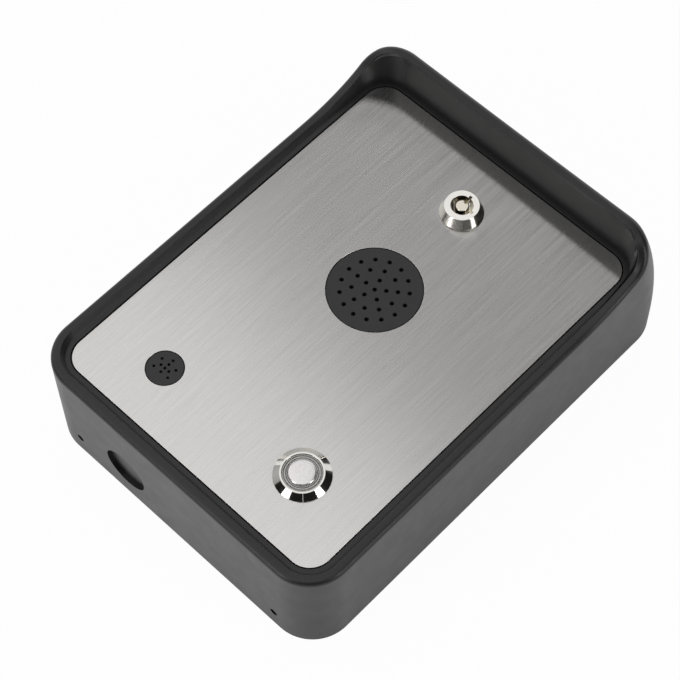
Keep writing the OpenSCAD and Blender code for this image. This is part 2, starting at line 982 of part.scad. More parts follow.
// Sizes of the board's pieces and the gaps between them. A place is the piece's near
// corner: x from the board's middle, y from its lower edge.
board_left = -board_w / 2;
board_right = board_w / 2;
board_margin = 6;
radio_size = [30, 26, 3];
radio_gap = 16;
radio_place = [board_left + board_margin, board_h - radio_gap - radio_size[1]];
sim_size = [17, 16, 2];
sim_gap = 8;
sim_place = [board_left + board_margin, radio_place[1] - sim_gap - sim_size[1]];
relay_size = [19, 15.5, 15];
relay_gap = 8;
relay_place = [board_left + relay_gap, relay_gap];
block_pitch = 5.08;
block_ways = 8;
block_depth = 10;
block_h = 10;
block_step_h = 6;
block_place = [-12, 0];
wire_w = 3.2;
wire_h = 3.6;
terminal_screw_d = 3.6;
terminal_sunk = 0.8;
header_size = [12.4, 5.8, 6];
header_count = 4;
header_pitch = 12;
header_low = 14;
capacitor_d = 10;
capacitor_h = 12;
capacitor_low = 20;
capacitor_step = 6;
capacitor_side = 15;
chip_size = [10, 8, 1.6];
chip_low = 34;
chip_pitch = 20;
trimmer_size = [6.6, 6.6, 4.8];
trimmer_slot = 0.6;
trimmer_place = [14, 40];
trimmer_pitch = 10;
chip_places = [
    [0, chip_low],
    [0, chip_low + chip_pitch],
    [trimmer_place[0], board_h - radio_gap - chip_size[1]]
];
header_places = [
    for (i = [0:header_count - 1])
        [board_right - board_margin - header_size[0], header_low + i * header_pitch]
];
trimmer_places = [for (i = [0, 1]) [trimmer_place[0], trimmer_place[1] + i * trimmer_pitch]];
// The capacitors are placed by their middles
capacitor_places = [
    [-capacitor_side, capacitor_low + capacitor_step],
    [capacitor_side, capacitor_low],
    [0, board_h - capacitor_d]
];

module radio_module() {
    lid_h = 2.2;
    lip = 0.8;
    color([0.72, 0.73, 0.74])
        union() {
            on_board(radio_place, [radio_size[0], radio_size[1], radio_size[2] - lid_h]);
            on_board(
                [radio_place[0] + lip, radio_place[1] + lip],
                [radio_size[0] - 2 * lip, radio_size[1] - 2 * lip, radio_size[2]]
            );
        }
}

module sim_holder() {
    slot_h = 0.9;
    side = 2;
    color([0.7, 0.71, 0.72])
        difference() {
            on_board(sim_place, sim_size);
            translate([-cut, side, slot_h / 2])
                on_board(sim_place, [sim_size[0] - side, sim_size[1] - 2 * side, slot_h]);
        }
}

module relay() {
    color([0.1, 0.25, 0.6])
        on_board(relay_place, relay_size);
}

// Places above the screws of the terminal block
module terminal_places() {
    for (i = [0:block_ways - 1])
        translate([
            block_place[0] + block_pitch * (i + 0.5),
            board_low + block_place[1] + block_depth / 2,
            board_top_z
        ])
            children();
}

module terminal_block() {
    w = block_pitch * block_ways;
    color([0.1, 0.5, 0.25])
        difference() {
            union() {
                on_board(block_place, [w, block_depth, block_step_h]);
                translate([0, block_depth / 4, 0])
                    on_board(block_place, [w, block_depth / 2, block_h]);
            }
            terminal_places() {
                translate([-wire_w / 2, -block_depth / 2 - cut, wire_h / 4])
                    cube([wire_w, block_depth / 2, wire_h]);
                disc(terminal_screw_d + 2 * slip, block_h / 2, block_h + cut);
            }
        }
}

module terminal_screws() {
    color(nickel)
        terminal_places()
            difference() {
                disc(terminal_screw_d, block_h / 2, block_h - terminal_sunk);
                translate([-terminal_screw_d, -slot_w / 2, block_h - 2 * terminal_sunk])
                    cube([2 * terminal_screw_d, slot_w, block_h]);
            }
}

module capacitors() {
    color([0.12, 0.12, 0.2])
        for (p = capacitor_places)
            translate([p[0], board_low + p[1], 0])
                disc(capacitor_d, board_top_z, board_top_z + capacitor_h);
}

module headers() {
    shell = 1;
    inside = [header_size[0] - 2 * shell, header_size[1] - 2 * shell, header_size[2]];
    color([0.92, 0.91, 0.87])
        for (p = header_places)
            difference() {
                on_board(p, header_size);
                translate([shell, shell, shell])
                    on_board(p, inside);
            }
}

module chips() {
    color([0.08, 0.08, 0.08])
        for (p = chip_places)
            on_board(p, chip_size);
}

module trimmers() {
    color([0.15, 0.3, 0.65])
        for (p = trimmer_places)
            difference() {
                on_board(p, trimmer_size);
                translate([p[0] + trimmer_size[0] / 2, board_low + p[1] + trimmer_size[1] / 2, 0])
                    cross_slot(
                        trimmer_size[0] / 2,
                        board_top_z + trimmer_size[2] - trimmer_slot,
                        2 * trimmer_slot
                    );
            }
}

antenna_size = [1, 60, 14];
antenna_up = 20;

module antenna() {
    color([0.75, 0.6, 0.2])
        translate([-half_w + wall, antenna_up - antenna_size[1] / 2, boss_top_z])
            cube(antenna_size);
}

housing();
plate_gasket();
face_plate();
hinge_hooks();
plate_studs();
speaker_grille();
speaker_mesh();
speaker_basket();
speaker_cone();
speaker_magnet();
speaker_clamp();
speaker_nuts();
mic_grille();
mic_boot();
mic_capsule();
button_bezel();
button_seal();
button_light_ring();
button_cap();
button_spring();
button_nut();
button_base();
button_terminals();
lock_barrel();
lock_plug();
lock_nut();
lock_cam();
cam_screw();
circuit_board();
board_screws();
radio_module();
sim_holder();
relay();
terminal_block();
terminal_screws();
capacitors();
headers();
chips();
trimmers();
antenna();
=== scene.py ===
"""Emergency intercom: a hooded wall housing with a hinged, key-locked steel face plate.

Every piece is built in metres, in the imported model's own frame: +Z comes out of the wall, +Y is up
on the wall and +X is to the right of the face plate.
"""

import math

import bmesh
import bpy
import numpy as np
from bpy.props import FloatProperty, FloatVectorProperty, IntProperty, PointerProperty
from mathutils import Matrix, Vector


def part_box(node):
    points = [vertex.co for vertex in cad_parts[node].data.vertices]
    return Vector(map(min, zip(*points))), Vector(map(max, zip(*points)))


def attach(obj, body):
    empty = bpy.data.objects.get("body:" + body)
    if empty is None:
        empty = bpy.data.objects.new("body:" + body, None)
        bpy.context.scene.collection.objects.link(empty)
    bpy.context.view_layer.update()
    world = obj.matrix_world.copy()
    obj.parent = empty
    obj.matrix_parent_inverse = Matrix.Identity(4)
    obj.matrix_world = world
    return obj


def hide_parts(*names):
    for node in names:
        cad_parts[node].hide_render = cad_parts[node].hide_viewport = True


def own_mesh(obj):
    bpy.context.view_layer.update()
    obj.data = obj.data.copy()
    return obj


bl_info = {
    "name": "Emergency Intercom",
    "version": (1, 0, 0),
    "blender": (4, 5, 0),
    "location": "View3D > Sidebar > Intercom",
    "description": "Dresses a hooded wall intercom with a key-locked steel face plate",
    "category": "Object",
}

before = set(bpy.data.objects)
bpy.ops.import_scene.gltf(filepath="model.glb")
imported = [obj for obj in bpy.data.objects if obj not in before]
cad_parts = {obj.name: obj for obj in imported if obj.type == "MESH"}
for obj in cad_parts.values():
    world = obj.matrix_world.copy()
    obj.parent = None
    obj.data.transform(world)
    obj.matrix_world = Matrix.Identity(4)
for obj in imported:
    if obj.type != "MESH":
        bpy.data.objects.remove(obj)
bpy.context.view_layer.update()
MM = 0.001

HOUSING_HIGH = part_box("housing")[1]
PLATE_LOW, PLATE_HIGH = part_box("face_plate")
FRONT_Z = PLATE_HIGH.z

# Sizes that several pieces share; heights are from the face plate's front
PLATE_BACK = -2.02 * MM
THREAD_TOP = -2.2 * MM
LOCK_THREAD = 15.8 * MM
BUTTON_GAP = 0.1 * MM

# What shiny pieces see of the studio, as shares of white
CEILING = 0.95
BRIGHT_WALL = 0.85
BRIGHT_SLIT = 0.7
GREY_WALL = 0.33
LOW_GLOW, HIGH_GLOW = 0.25, 0.012
FLOOR_SHARE = 0.97
SOFTBOX_SHAPE = 1.8


def middle(node):
    """The middle of a node's box."""
    low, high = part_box(node)
    return (low + high) / 2


def foot(node):
    """The point on the face plate's front that a round node stands on."""
    spot = middle(node)
    return Vector((spot.x, spot.y, FRONT_Z))


# Sizes and colours that a user would change


def length(name, description, millimetres):
    return FloatProperty(
        name=name, description=description, default=millimetres * MM, unit="LENGTH", precision=5
    )


def count(name, description, default):
    return IntProperty(name=name, description=description, default=default, min=1)


def colour(name, description, default):
    return FloatVectorProperty(
        name=name, description=description, default=default, subtype="COLOR", min=0.0, max=1.0, size=3
    )


class HousingSizes(bpy.types.PropertyGroup):
    corner: length("Corner radius", "Outer corner radius seen from the front", 17.5)
    wall: length("Wall", "Thickness of the side walls", 3)
    back: length("Back wall", "Thickness of the back wall", 3)
    back_recess: length("Back recess", "Depth by which the back wall stands in", 0.5)
    foot_edge: length("Foot edge", "Radius of the edge that lies on the wall", 0.5)
    rim_rise: length("Rim rise", "Height of the rim above the face plate", 2.7)
    rim_width: length("Rim width", "Width of the rim's flat and both its edges", 4.1)
    rim_fillet: length("Rim fillet", "Radius of the rim's outer edge", 1.9)
    rim_edge: length("Rim edge", "Radius of the rim's inner edge", 0.5)
    hood_rise: length("Hood rise", "Height of the hood above the face plate", 19.2)
    hood_run: length("Hood run", "Length over which the rim sweeps up", 50.8)
    hood_overshoot: length("Hood overshoot", "Reach of the sweep past the hood's front edge", 4)
    sweep_share: FloatProperty(
        name="Sweep share", description="Share of the sweep's lower arc", default=0.77
    )
    hood_sag: length("Hood sag", "Dip of the hood's front edge at its middle", 0.9)
    roof_lean: length("Roof lean", "Distance by which the roof leans in", 12.4)
    roof_straight: length("Roof straight", "Height of the roof's straight part", 10)
    ledge: length("Ledge", "Width of the ledge round the plate", 2.5)
    ledge_lift: length("Ledge lift", "Height of the ledge above the plate", 0.2)
    plate_gap: length("Plate gap", "Gap round the face plate", 0.5)
    plate_corner: length("Plate corner", "Corner radius of the face plate", 9.2)
    shelf: length("Shelf", "Reach of the shelf under the plate's edge", 4.5)
    shelf_drop: length("Shelf drop", "Depth of the shelf behind the plate's back", 1.5)
    shelf_thick: length("Shelf thickness", "Thickness of the shelf", 3)
    knockout: length("Knockout", "Diameter of the cable knockout", 20)
    knockout_side: length("Knockout side", "Distance of the knockout to the left", 26)
    knockout_up: length("Knockout height", "Height of the knockout above the wall", 19.2)
    knockout_depth: length("Knockout depth", "Depth of the knockout", 1.9)
    drain: length("Drain", "Diameter of a drain hole", 3.4)
    drain_side: length("Drain side", "Distance of a drain hole from the side", 20.5)
    drain_up: length("Drain height", "Height of the drain holes above the wall", 10.3)
    fixing: length("Fixing", "Diameter of a fixing hole", 4.6)
    fixing_side: length("Fixing side", "Distance of the fixing holes from the side", 18)
    fixing_end: length("Fixing end", "Distance of the fixing holes from the ends", 22)


class PlateSizes(bpy.types.PropertyGroup):
    edge: length("Edge", "Radius of the plate's deburred edges", 0.12)
    hole_gap: length("Hole gap", "Clearance of the holes round their pieces", 0.28)


class SoundSizes(bpy.types.PropertyGroup):
    hole: length("Speaker hole", "Diameter of a hole in the speaker grille", 1.8)
    mic_hole: length("Microphone hole", "Diameter of a hole in the microphone grille", 1.2)
    speaker: length("Speaker grille", "Radius of the speaker grille", 18.6)
    mic: length("Microphone grille", "Radius of the microphone grille", 7.25)
    speaker_pitch: length("Speaker pitch", "Distance between the speaker's rings of holes", 4.48)
    speaker_rings: count("Speaker rings", "Rings of holes round the speaker's middle hole", 3)
    mic_inner: length("Inner ring", "Radius of the microphone's inner ring of holes", 2.1)
    mic_outer: length("Outer ring", "Radius of the microphone's outer ring of holes", 4.3)
    edge: length("Edge", "Radius of the discs' edges", 0.25)


class ButtonSizes(bpy.types.PropertyGroup):
    head: length("Head", "Diameter of the head", 22)
    head_top: length("Head top", "Diameter of the head's bright flat", 16.8)
    head_height: length("Head height", "Height of the head", 2.2)
    light: length("Light ring", "Diameter of the light ring", 15.1)
    cap: length("Cap", "Diameter of the cap", 10.8)
    cap_rise: length("Cap rise", "Height of the cap above the head", 0.5)
    barrel: length("Barrel", "Diameter of the threaded barrel", 19)
    barrel_length: length("Barrel length", "Length of the barrel behind the plate's front", 20)
    pitch: length("Pitch", "Pitch of the thread", 1)
    coils: FloatProperty(name="Coils", description="Turns of the return spring", default=6.5)


class LockSizes(bpy.types.PropertyGroup):
    head: length("Head", "Diameter of the head at the plate", 17.6)
    face: length("Face", "Diameter of the head's face", 14)
    head_height: length("Head height", "Height of the head", 5)
    lip: length("Lip", "Height of the lip at the plate", 0.6)
    keyway: length("Keyway", "Outer diameter of the round keyway", 8.8)
    post: length("Post", "Diameter of the keyway's post", 5.6)
    notch: length("Notch", "Width of the notches", 1.3)
    notch_reach: length("Notch reach", "Reach of the notches past the keyway", 1.1)
    pitch: length("Pitch", "Pitch of the thread", 1)


class Finishes(bpy.types.PropertyGroup):
    plastic: colour("Plastic", "Moulded housing", (0.0145, 0.0145, 0.0152))
    grille: colour("Grille", "Speaker and microphone grilles", (0.0235, 0.0235, 0.0235))
    steel: colour("Steel", "Brushed face plate", (0.69, 0.675, 0.66))
    nickel: colour("Nickel", "Bright plated pieces", (0.83, 0.81, 0.765))
    brass: colour("Brass", "Plug and contacts", (0.74, 0.7, 0.6))
    light: colour("Light ring", "Unlit ring light", (0.5, 0.49, 0.47))
    cap: colour("Cap", "Satin cap", (0.85, 0.825, 0.815))
    rubber: colour("Rubber", "Gasket and seals", (0.012, 0.012, 0.012))
    board: colour("Board", "Solder mask", (0.01, 0.11, 0.045))


class StudioSizes(bpy.types.PropertyGroup):
    camera: FloatVectorProperty(
        name="Camera", description="Place of the camera", default=(0.2850, -0.2976, 0.7482),
        subtype="XYZ", unit="LENGTH", size=3,
    )
    right: FloatVectorProperty(
        name="Right", description="Direction to the right of the picture",
        default=(0.721985, 0.691824, -0.010812), size=3,
    )
    up: FloatVectorProperty(
        name="Up", description="Direction up the picture", default=(-0.598242, 0.632023, 0.492599), size=3
    )
    lens: FloatProperty(name="Lens", description="Focal length in millimetres", default=113.146)
    softbox: length("Softbox", "Width of a softbox", 385)
    softbox_away: length("Softbox distance", "Distance of a softbox from the intercom", 1200)
    softbox_turn: FloatProperty(
        name="Softbox turn", description="Angle from the camera's side to a softbox",
        default=math.radians(54), subtype="ANGLE",
    )
    softbox_tilt: FloatProperty(
        name="Softbox height", description="Angle of a softbox above the floor",
        default=math.radians(31), subtype="ANGLE",
    )
    softbox_power: FloatProperty(
        name="Softbox power", description="Power of a softbox in watts", default=3.1
    )


GROUPS = {
    "intercom_housing": HousingSizes,
    "intercom_plate": PlateSizes,
    "intercom_sound": SoundSizes,
    "intercom_button": ButtonSizes,
    "intercom_lock": LockSizes,
    "intercom_finishes": Finishes,
    "intercom_studio": StudioSizes,
}


# Meshes


def mesh_object(name, points, faces):
    mesh = bpy.data.meshes.new(name)
    mesh.from_pydata([tuple(p) for p in points], [], faces)
    mesh.update()
    return linked(name, mesh)


def linked(name, mesh):
    obj = bpy.data.objects.new(name, mesh)
    bpy.context.scene.collection.objects.link(obj)
    return obj


def tidy(obj, gap=1e-7):
    """Joins doubled points, drops empty faces and turns the faces outwards."""
    bm = bmesh.new()
    bm.from_mesh(obj.data)
    bmesh.ops.remove_doubles(bm, verts=bm.verts, dist=gap)
    bmesh.ops.dissolve_degenerate(bm, edges=bm.edges, dist=gap)
    bmesh.ops.recalc_face_normals(bm, faces=bm.faces)
    bm.to_mesh(obj.data)
    bm.free()
    return obj


def smooth(obj, degrees=32):
    """Shades a piece smooth between its sharp edges, with its large faces kept flat."""
    obj.data.shade_smooth()
    obj.data.set_sharp_from_angle(angle=math.radians(degrees))
    step = obj.modifiers.new("normals", "WEIGHTED_NORMAL")
    step.keep_sharp = True
    step.weight = 90
    return bake(obj)


def bake(obj):
    """Turns an object and its modifiers into one plain mesh."""
    graph = bpy.context.evaluated_depsgraph_get()
    graph.update()
    mesh = bpy.data.meshes.new_from_object(obj.evaluated_get(graph))
    obj.modifiers.clear()
    obj.data = mesh
    return obj


def carve(obj, cutter, operation="DIFFERENCE"):
    """Cuts one solid from another, or joins them, and removes the second."""
    step = obj.modifiers.new("carve", "BOOLEAN")
    step.operation = operation
    step.object = cutter
    step.solver = "EXACT"
    bake(obj)
    bpy.data.objects.remove(cutter)
    return obj


def joined(objects):
    """One object that holds the meshes of several."""
    keep = objects[0]
    bm = bmesh.new()
    for obj in objects:
        bm.from_mesh(obj.data)
    bm.to_mesh(keep.data)
    bm.free()
    for obj in objects[1:]:
        bpy.data.objects.remove(obj)
    return keep


def rounded(points, steps=5):
    """An outline whose corners (x, y, radius) are rounded by arcs."""
    outline = []
    for i, (x, y, radius) in enumerate(points):
        here = Vector((x, y))
        back = Vector(points[i - 1][:2]) - here
        ahead = Vector(points[(i + 1) % len(points)][:2]) - here
        if radius <= 0 or min(back.length, ahead.length) == 0:
            outline.append((x, y))
            continue
        half = back.angle(ahead) / 2
        reach = min(radius / math.tan(half), 0.49 * min(back.length, ahead.length))
        centre = here + (back.normalized() + ahead.normalized()).normalized() * (reach / math.cos(half))
        first = here + back.normalized() * reach - centre
        turn = first.angle_signed(here + ahead.normalized() * reach - centre)
        for k in range(steps + 1):
            corner = first.copy()
            corner.rotate(Matrix.Rotation(-turn * k / steps, 2))
            outline.append(tuple(centre + corner))
    return outline


def circle(x, y, radius, steps=64):
    return [
        (x + radius * math.cos(a), y + radius * math.sin(a))
        for a in (2 * math.pi * i / steps for i in range(steps))
    ]


def rounded_box(low, high, radius, steps=12):
    corners = [(low[0], low[1]), (high[0], low[1]), (high[0], high[1]), (low[0], high[1])]
    return rounded([(x, y, radius) for x, y in corners], steps)


def lathe(name, profile, centre, segments=96, steps=5):
    """Turns a closed profile of (radius, height, rounding) about the vertical line through a point."""
    outline = rounded(profile, steps)
    points = []
    for j in range(segments):
        a = 2 * math.pi * j / segments
        points += [
            (centre[0] + r * math.cos(a), centre[1] + r * math.sin(a), centre[2] + z) for r, z in outline
        ]
    n = len(outline)
    faces = []
    for j in range(segments):
        k = (j + 1) % segments
        faces += [(j * n + i, k * n + i, k * n + (i + 1) % n, j * n + (i + 1) % n) for i in range(n)]
    return tidy(mesh_object(name, points, faces))


def sheet(name, outlines, low, high, edge=0.0):
    """A flat sheet between two heights from an outer outline and the outlines of its holes."""
    curve = bpy.data.curves.new(name, "CURVE")
    curve.dimensions = "2D"
    curve.fill_mode = "BOTH"
    curve.extrude = (high - low) / 2 - edge
    curve.bevel_depth = edge
    curve.bevel_resolution = 2
    curve.offset = -edge
    for outline in outlines:
        spline = curve.splines.new("POLY")
        spline.points.add(len(outline) - 1)
        for point, (x, y) in zip(spline.points, outline):
            point.co = (x, y, 0, 1)
        spline.use_cyclic_u = True
    draft = linked(name + "_draft", curve)
    bpy.context.view_layer.update()
    graph = bpy.context.evaluated_depsgraph_get()
    mesh = bpy.data.meshes.new_from_object(draft.evaluated_get(graph))
    bpy.data.objects.remove(draft)
    mesh.transform(Matrix.Translation((0, 0, (low + high) / 2)))
    return tidy(linked(name, mesh))


def drum(radius, low, high, centre, segments):
    """A round cutter that lies along Y."""
    bm = bmesh.new()
    bmesh.ops.create_cone(
        bm, cap_ends=True, segments=segments, radius1=radius, radius2=radius, depth=high - low
    )
    mesh = bpy.data.meshes.new("drum")
    bm.to_mesh(mesh)
    bm.free()
    place = Vector(centre) + Vector((0, 1, 0)) * (low + high) / 2
    mesh.transform(Matrix.Translation(place) @ Matrix.Rotation(math.radians(-90), 4, "X"))
    return linked("drum", mesh)


def block(name, low, high, edge=0.0, steps=2):
    """A box with rounded edges."""
    bm = bmesh.new()
    bmesh.ops.create_cube(bm, size=1)
    size = Vector(high) - Vector(low)
    for v in bm.verts:
        share = [value + 0.5 for value in v.co]
        v.co = Vector(low) + Vector((size.x * share[0], size.y * share[1], size.z * share[2]))
    if edge:
        bmesh.ops.bevel(
            bm, geom=bm.edges, offset=edge, segments=steps, profile=0.5, affect="EDGES"
        )
    mesh = bpy.data.meshes.new(name)
    bm.to_mesh(mesh)
    bm.free()
    return linked(name, mesh)


def threaded(name, diameter, pitch, low, high, centre, bore=0.0, flat=None):
    """A tube or rod with a true helical thread, cut by two flats if a width across them is given."""
    deep, end_cut = 0.55, 0.3
    depth = pitch * deep
    around, per_turn = 72, 8
    rows = max(2, int((high - low) / pitch * per_turn))
    points, faces = [], []
    for k in range(rows + 1):
        z = low + (high - low) * k / rows
        fade = min(1.0, (z - low) / pitch, (high - z) / pitch)
        for i in range(around):
            a = 2 * math.pi * i / around
            wave = abs(((z / pitch - i / around) % 1.0) * 2 - 1)
            r = diameter / 2 - depth * wave * fade - depth * end_cut * (1 - fade)
            x, y = r * math.cos(a), r * math.sin(a)
            if flat:
                y = max(-flat / 2, min(flat / 2, y))
            points.append((centre[0] + x, centre[1] + y, centre[2] + z))
    for k in range(rows):
        for i in range(around):
            j = (i + 1) % around
            faces.append((k * around + i, k * around + j, (k + 1) * around + j, (k + 1) * around + i))
    base = len(points)
    if bore:
        for z in (low, high):
            for i in range(around):
                a = 2 * math.pi * i / around
                points.append(
                    (centre[0] + bore / 2 * math.cos(a), centre[1] + bore / 2 * math.sin(a), centre[2] + z)
                )
        for i in range(around):
            j = (i + 1) % around
            faces.append((base + i, base + around + i, base + around + j, base + j))
            faces.append((i, base + i, base + j, j))
            top = rows * around
            faces.append((top + i, top + j, base + around + j, base + around + i))
    else:
        faces.append(tuple(range(around))[::-1])
        faces.append(tuple(rows * around + i for i in range(around)))
    return tidy(mesh_object(name, points, faces))


def finish(obj, body, material, *nodes, slot=None):
    """Gives a piece its material and body, and lets it stand for CAD nodes; the slot is not used."""
    obj.data.materials.clear()
    obj.data.materials.append(material)
    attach(obj, body)
    if nodes:
        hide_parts(*nodes)
    return obj


def dress(node, material):
    """A CAD node that keeps its shape gets a finished material."""
    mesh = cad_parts[node].data
    mesh.materials.clear()
    mesh.materials.append(material)


def islands(node):
    """The boxes of a CAD node's separate bodies."""
    bm = bmesh.new()
    bm.from_mesh(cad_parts[node].data)
    bmesh.ops.remove_doubles(bm, verts=bm.verts, dist=1e-6)
    boxes, left = [], set(bm.verts)
    while left:
        front = [left.pop()]
        low, high = front[0].co.copy(), front[0].co.copy()
        while front:
            vert = front.pop()
            for i in range(3):
                low[i], high[i] = min(low[i], vert.co[i]), max(high[i], vert.co[i])
            beside = {edge.other_vert(vert) for edge in vert.link_edges} & left
            left -= beside
            front += beside
        boxes.append((low, high))
    bm.free()
    return sorted(boxes, key=lambda box: tuple(box[0]))


def refined(node, name, edge, degrees=35, steps=2):
    """A copy of a CAD node's mesh with its sharp edges rounded."""
    obj = linked(name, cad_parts[node].data.copy())
    tidy(obj, 1e-6)
    bm = bmesh.new()
    bm.from_mesh(obj.data)
    bmesh.ops.dissolve_limit(
        bm, angle_limit=math.radians(1), verts=bm.verts, edges=bm.edges, delimit=set()
    )
    bm.to_mesh(obj.data)
    bm.free()
    step = obj.modifiers.new("edges", "BEVEL")
    step.width = edge
    step.segments = steps
    step.limit_method = "ANGLE"
    step.angle_limit = math.radians(degrees)
    step.use_clamp_overlap = True
    bake(obj)
    return smooth(obj)


def refit(node, name, edge, body, material, slot):
    """Shows a CAD node with its sharp edges rounded by some millimetres."""
    return finish(refined(node, name, edge * MM), body, material, node, slot=slot)


# Nodes


def connect(tree, socket, value):
    """Links a socket to another one, or sets its own value."""
    if isinstance(value, bpy.types.NodeSocket):
        tree.links.new(value, socket)
    else:
        socket.default_value = value


def add_node(tree, kind, inputs=None, **settings):
    """A new node with its settings, its inputs set or linked by name or number."""
    made = tree.nodes.new(kind)
    for key, value in settings.items():
        setattr(made, key, value)
    for key, value in (inputs or {}).items():
        connect(tree, made.inputs[key], value)
    return made


def combine(tree, operation, first, second):
    """Two numbers or sockets, worked into one."""
    return add_node(tree, "ShaderNodeMath", {0: first, 1: second}, operation=operation).outputs[0]


def ramp(tree, factor, start, end, low, high, **settings):
    """Maps one range of a factor to another."""
    ends = {"Value": factor, "From Min": start, "From Max": end, "To Min": low, "To Max": high}
    return add_node(tree, "ShaderNodeMapRange", ends, **settings).outputs["Result"]


# Materials


class Finish:
    """A material under construction: its tree, its shader and short ways to add to them."""

    def __init__(self, name, base, roughness, metallic=0.0):
        self.material = bpy.data.materials.new(name)
        self.material.use_nodes = True
        self.tree = self.material.node_tree
        self.shader = self.tree.nodes["Principled BSDF"]
        self.place = self.node("ShaderNodeTexCoord").outputs["Object"]
        self.base = base
        self.set("Base Color", (*base, 1))
        self.set("Roughness", roughness)
        self.set("Metallic", metallic)

    def set(self, socket, value):
        connect(self.tree, self.shader.inputs[socket], value)

    def node(self, kind, inputs=None, **settings):
        return add_node(self.tree, kind, inputs, **settings)

    def noise(self, scale, detail, roughness=0.55, stretch=(1, 1, 1)):
        """Noise whose features repeat about every 1 / scale metres."""
        place = self.node("ShaderNodeMapping", {"Vector": self.place, "Scale": stretch}).outputs["Vector"]
        texture = {"Vector": place, "Scale": scale, "Detail": detail, "Roughness": roughness}
        return self.node("ShaderNodeTexNoise", texture).outputs["Fac"]

    def spread(self, factor, low, high):
        """Maps the middle range that noise fills to two values."""
        return ramp(self.tree, factor, 0.3, 0.7, low, high)

    def vary_colour(self, factor, dark, light):
        """Varies the base colour between two shares of itself."""
        first, second = ((*(min(1, share * c) for c in self.base), 1) for share in (dark, light))
        share = self.spread(factor, 0, 1)
        mix = self.node("ShaderNodeMix", {"Factor": share, "A": first, "B": second}, data_type="RGBA")
        self.set("Base Color", mix.outputs["Result"])

    def vary_roughness(self, factor, low, high):
        self.set("Roughness", self.spread(factor, low, high))

    def bump(self, factor, distance, strength):
        """Adds a height of some metres to the surface."""
        step = self.node("ShaderNodeBump", {"Height": factor, "Distance": distance, "Strength": strength})
        self.set("Normal", step.outputs["Normal"])


def moulded_plastic(name, base, roughness=0.38, grain=1800, relief=0.04 * MM):
    """Fine matt moulding texture with faint rubbed marks."""
    look = Finish(name, base, roughness)
    look.vary_colour(look.noise(45, 3), 0.98, 1.03)
    look.vary_roughness(look.noise(140, 4), roughness - 0.02, roughness + 0.03)
    look.bump(look.noise(grain, 2), relief, 0.5)
    return look.material


def brushed_steel(name, base):
    """Steel with fine short brush lines along Y, whose highlights spread across the lines."""
    look = Finish(name, base, 0.25, 1.0)
    brush = (40, 1, 40)
    fine, broad = look.noise(48, 4, 0.7, brush), look.noise(22, 3, 0.6, brush)
    look.vary_colour(fine, 0.93, 1.035)
    look.vary_roughness(broad, 0.23, 0.28)
    look.bump(fine, 0.004 * MM, 0.2)
    look.set("Anisotropic", 1.0)
    tangent = look.node("ShaderNodeTangent", direction_type="UV_MAP", uv_map="brush")
    look.set("Tangent", tangent.outputs["Tangent"])
    return look.material


def bright_nickel(name, base, roughness=0.07):
    """Polished plating with faint wipe marks."""
    look = Finish(name, base, roughness, 1.0)
    look.vary_roughness(look.noise(260, 4), roughness - 0.025, roughness + 0.03)
    look.vary_colour(look.noise(90, 3), 0.97, 1.02)
    return look.material


def satin_metal(name, base, roughness):
    """Fine-blasted metal."""
    look = Finish(name, base, roughness, 1.0)
    look.vary_roughness(look.noise(900, 3), roughness - 0.05, roughness + 0.07)
    look.bump(look.noise(5200, 2), 0.003 * MM, 0.25)
    return look.material


def satin_cap(name, base):
    """Fine-blasted metal under a thin clear lacquer."""
    material = satin_metal(name, base, 0.3)
    shader = material.node_tree.nodes["Principled BSDF"]
    shader.inputs["Coat Weight"].default_value = 0.8
    shader.inputs["Coat Roughness"].default_value = 0.06
    return material


def light_plastic(name, base):
    """Milky translucent plastic of an unlit ring light."""
    look = Finish(name, base, 0.24)
    look.set("Subsurface Weight", 0.1)
    look.set("Subsurface Radius", (2 * MM, 2 * MM, 2 * MM))
    look.set("Coat Weight", 0.5)
    look.set("Coat Roughness", 0.12)
    look.vary_colour(look.noise(420, 3), 0.93, 1.05)
    return look.material


def rubber(name, base):
    """Matt rubber, or another soft dull surface."""
    look = Finish(name, base, 0.72)
    look.vary_colour(look.noise(300, 4), 0.8, 1.3)
    look.bump(look.noise(2600, 3), 0.04 * MM, 0.5)
    return look.material


def smooth_plastic(name, base, roughness):
    """Glossy moulded plastic with a slight orange peel."""
    look = Finish(name, base, roughness)
    look.vary_colour(look.noise(220, 3), 0.92, 1.07)
    look.vary_roughness(look.noise(500, 3), roughness - 0.05, roughness + 0.07)
    look.bump(look.noise(1500, 2), 0.02 * MM, 0.35)
    return look.material


def woven_cloth(name, base):
    """Fine black cloth, woven at about a third of a millimetre."""
    look = Finish(name, base, 0.85)
    wave = {"Vector": look.place, "Scale": 480}
    warp, weft = (
        look.node("ShaderNodeTexWave", wave, bands_direction=way).outputs["Fac"] for way in ("X", "Y")
    )
    weave = combine(look.tree, "MULTIPLY", warp, weft)
    look.vary_colour(weave, 0.5, 1.6)
    look.bump(weave, 0.1 * MM, 0.6)
    return look.material


def circuit_mask(name, base):
    """Solder mask over faint copper tracks."""
    look = Finish(name, base, 0.28)
    shares = {"Color1": 1, "Color2": 0.88, "Mortar": 1.35}
    shades = {key: (*(share * c for c in base), 1) for key, share in shares.items()}
    tracks = look.node(
        "ShaderNodeTexBrick",
        {"Vector": look.place, "Scale": 90, "Mortar Size": 0.045, "Mortar Smooth": 0.1, **shades},
    )
    look.set("Base Color", tracks.outputs["Color"])
    look.bump(tracks.outputs["Fac"], 0.03 * MM, 0.2)
    return look.material


def chosen(finish_name):
    """A colour that the user may have changed."""
    return tuple(getattr(bpy.context.scene.intercom_finishes, finish_name))


def shared(name, make, *settings):
    """A material that several pieces wear, made once."""
    return bpy.data.materials.get(name) or make(name, *settings)


def black_plastic():
    return shared("moulded_black", moulded_plastic, chosen("plastic"))


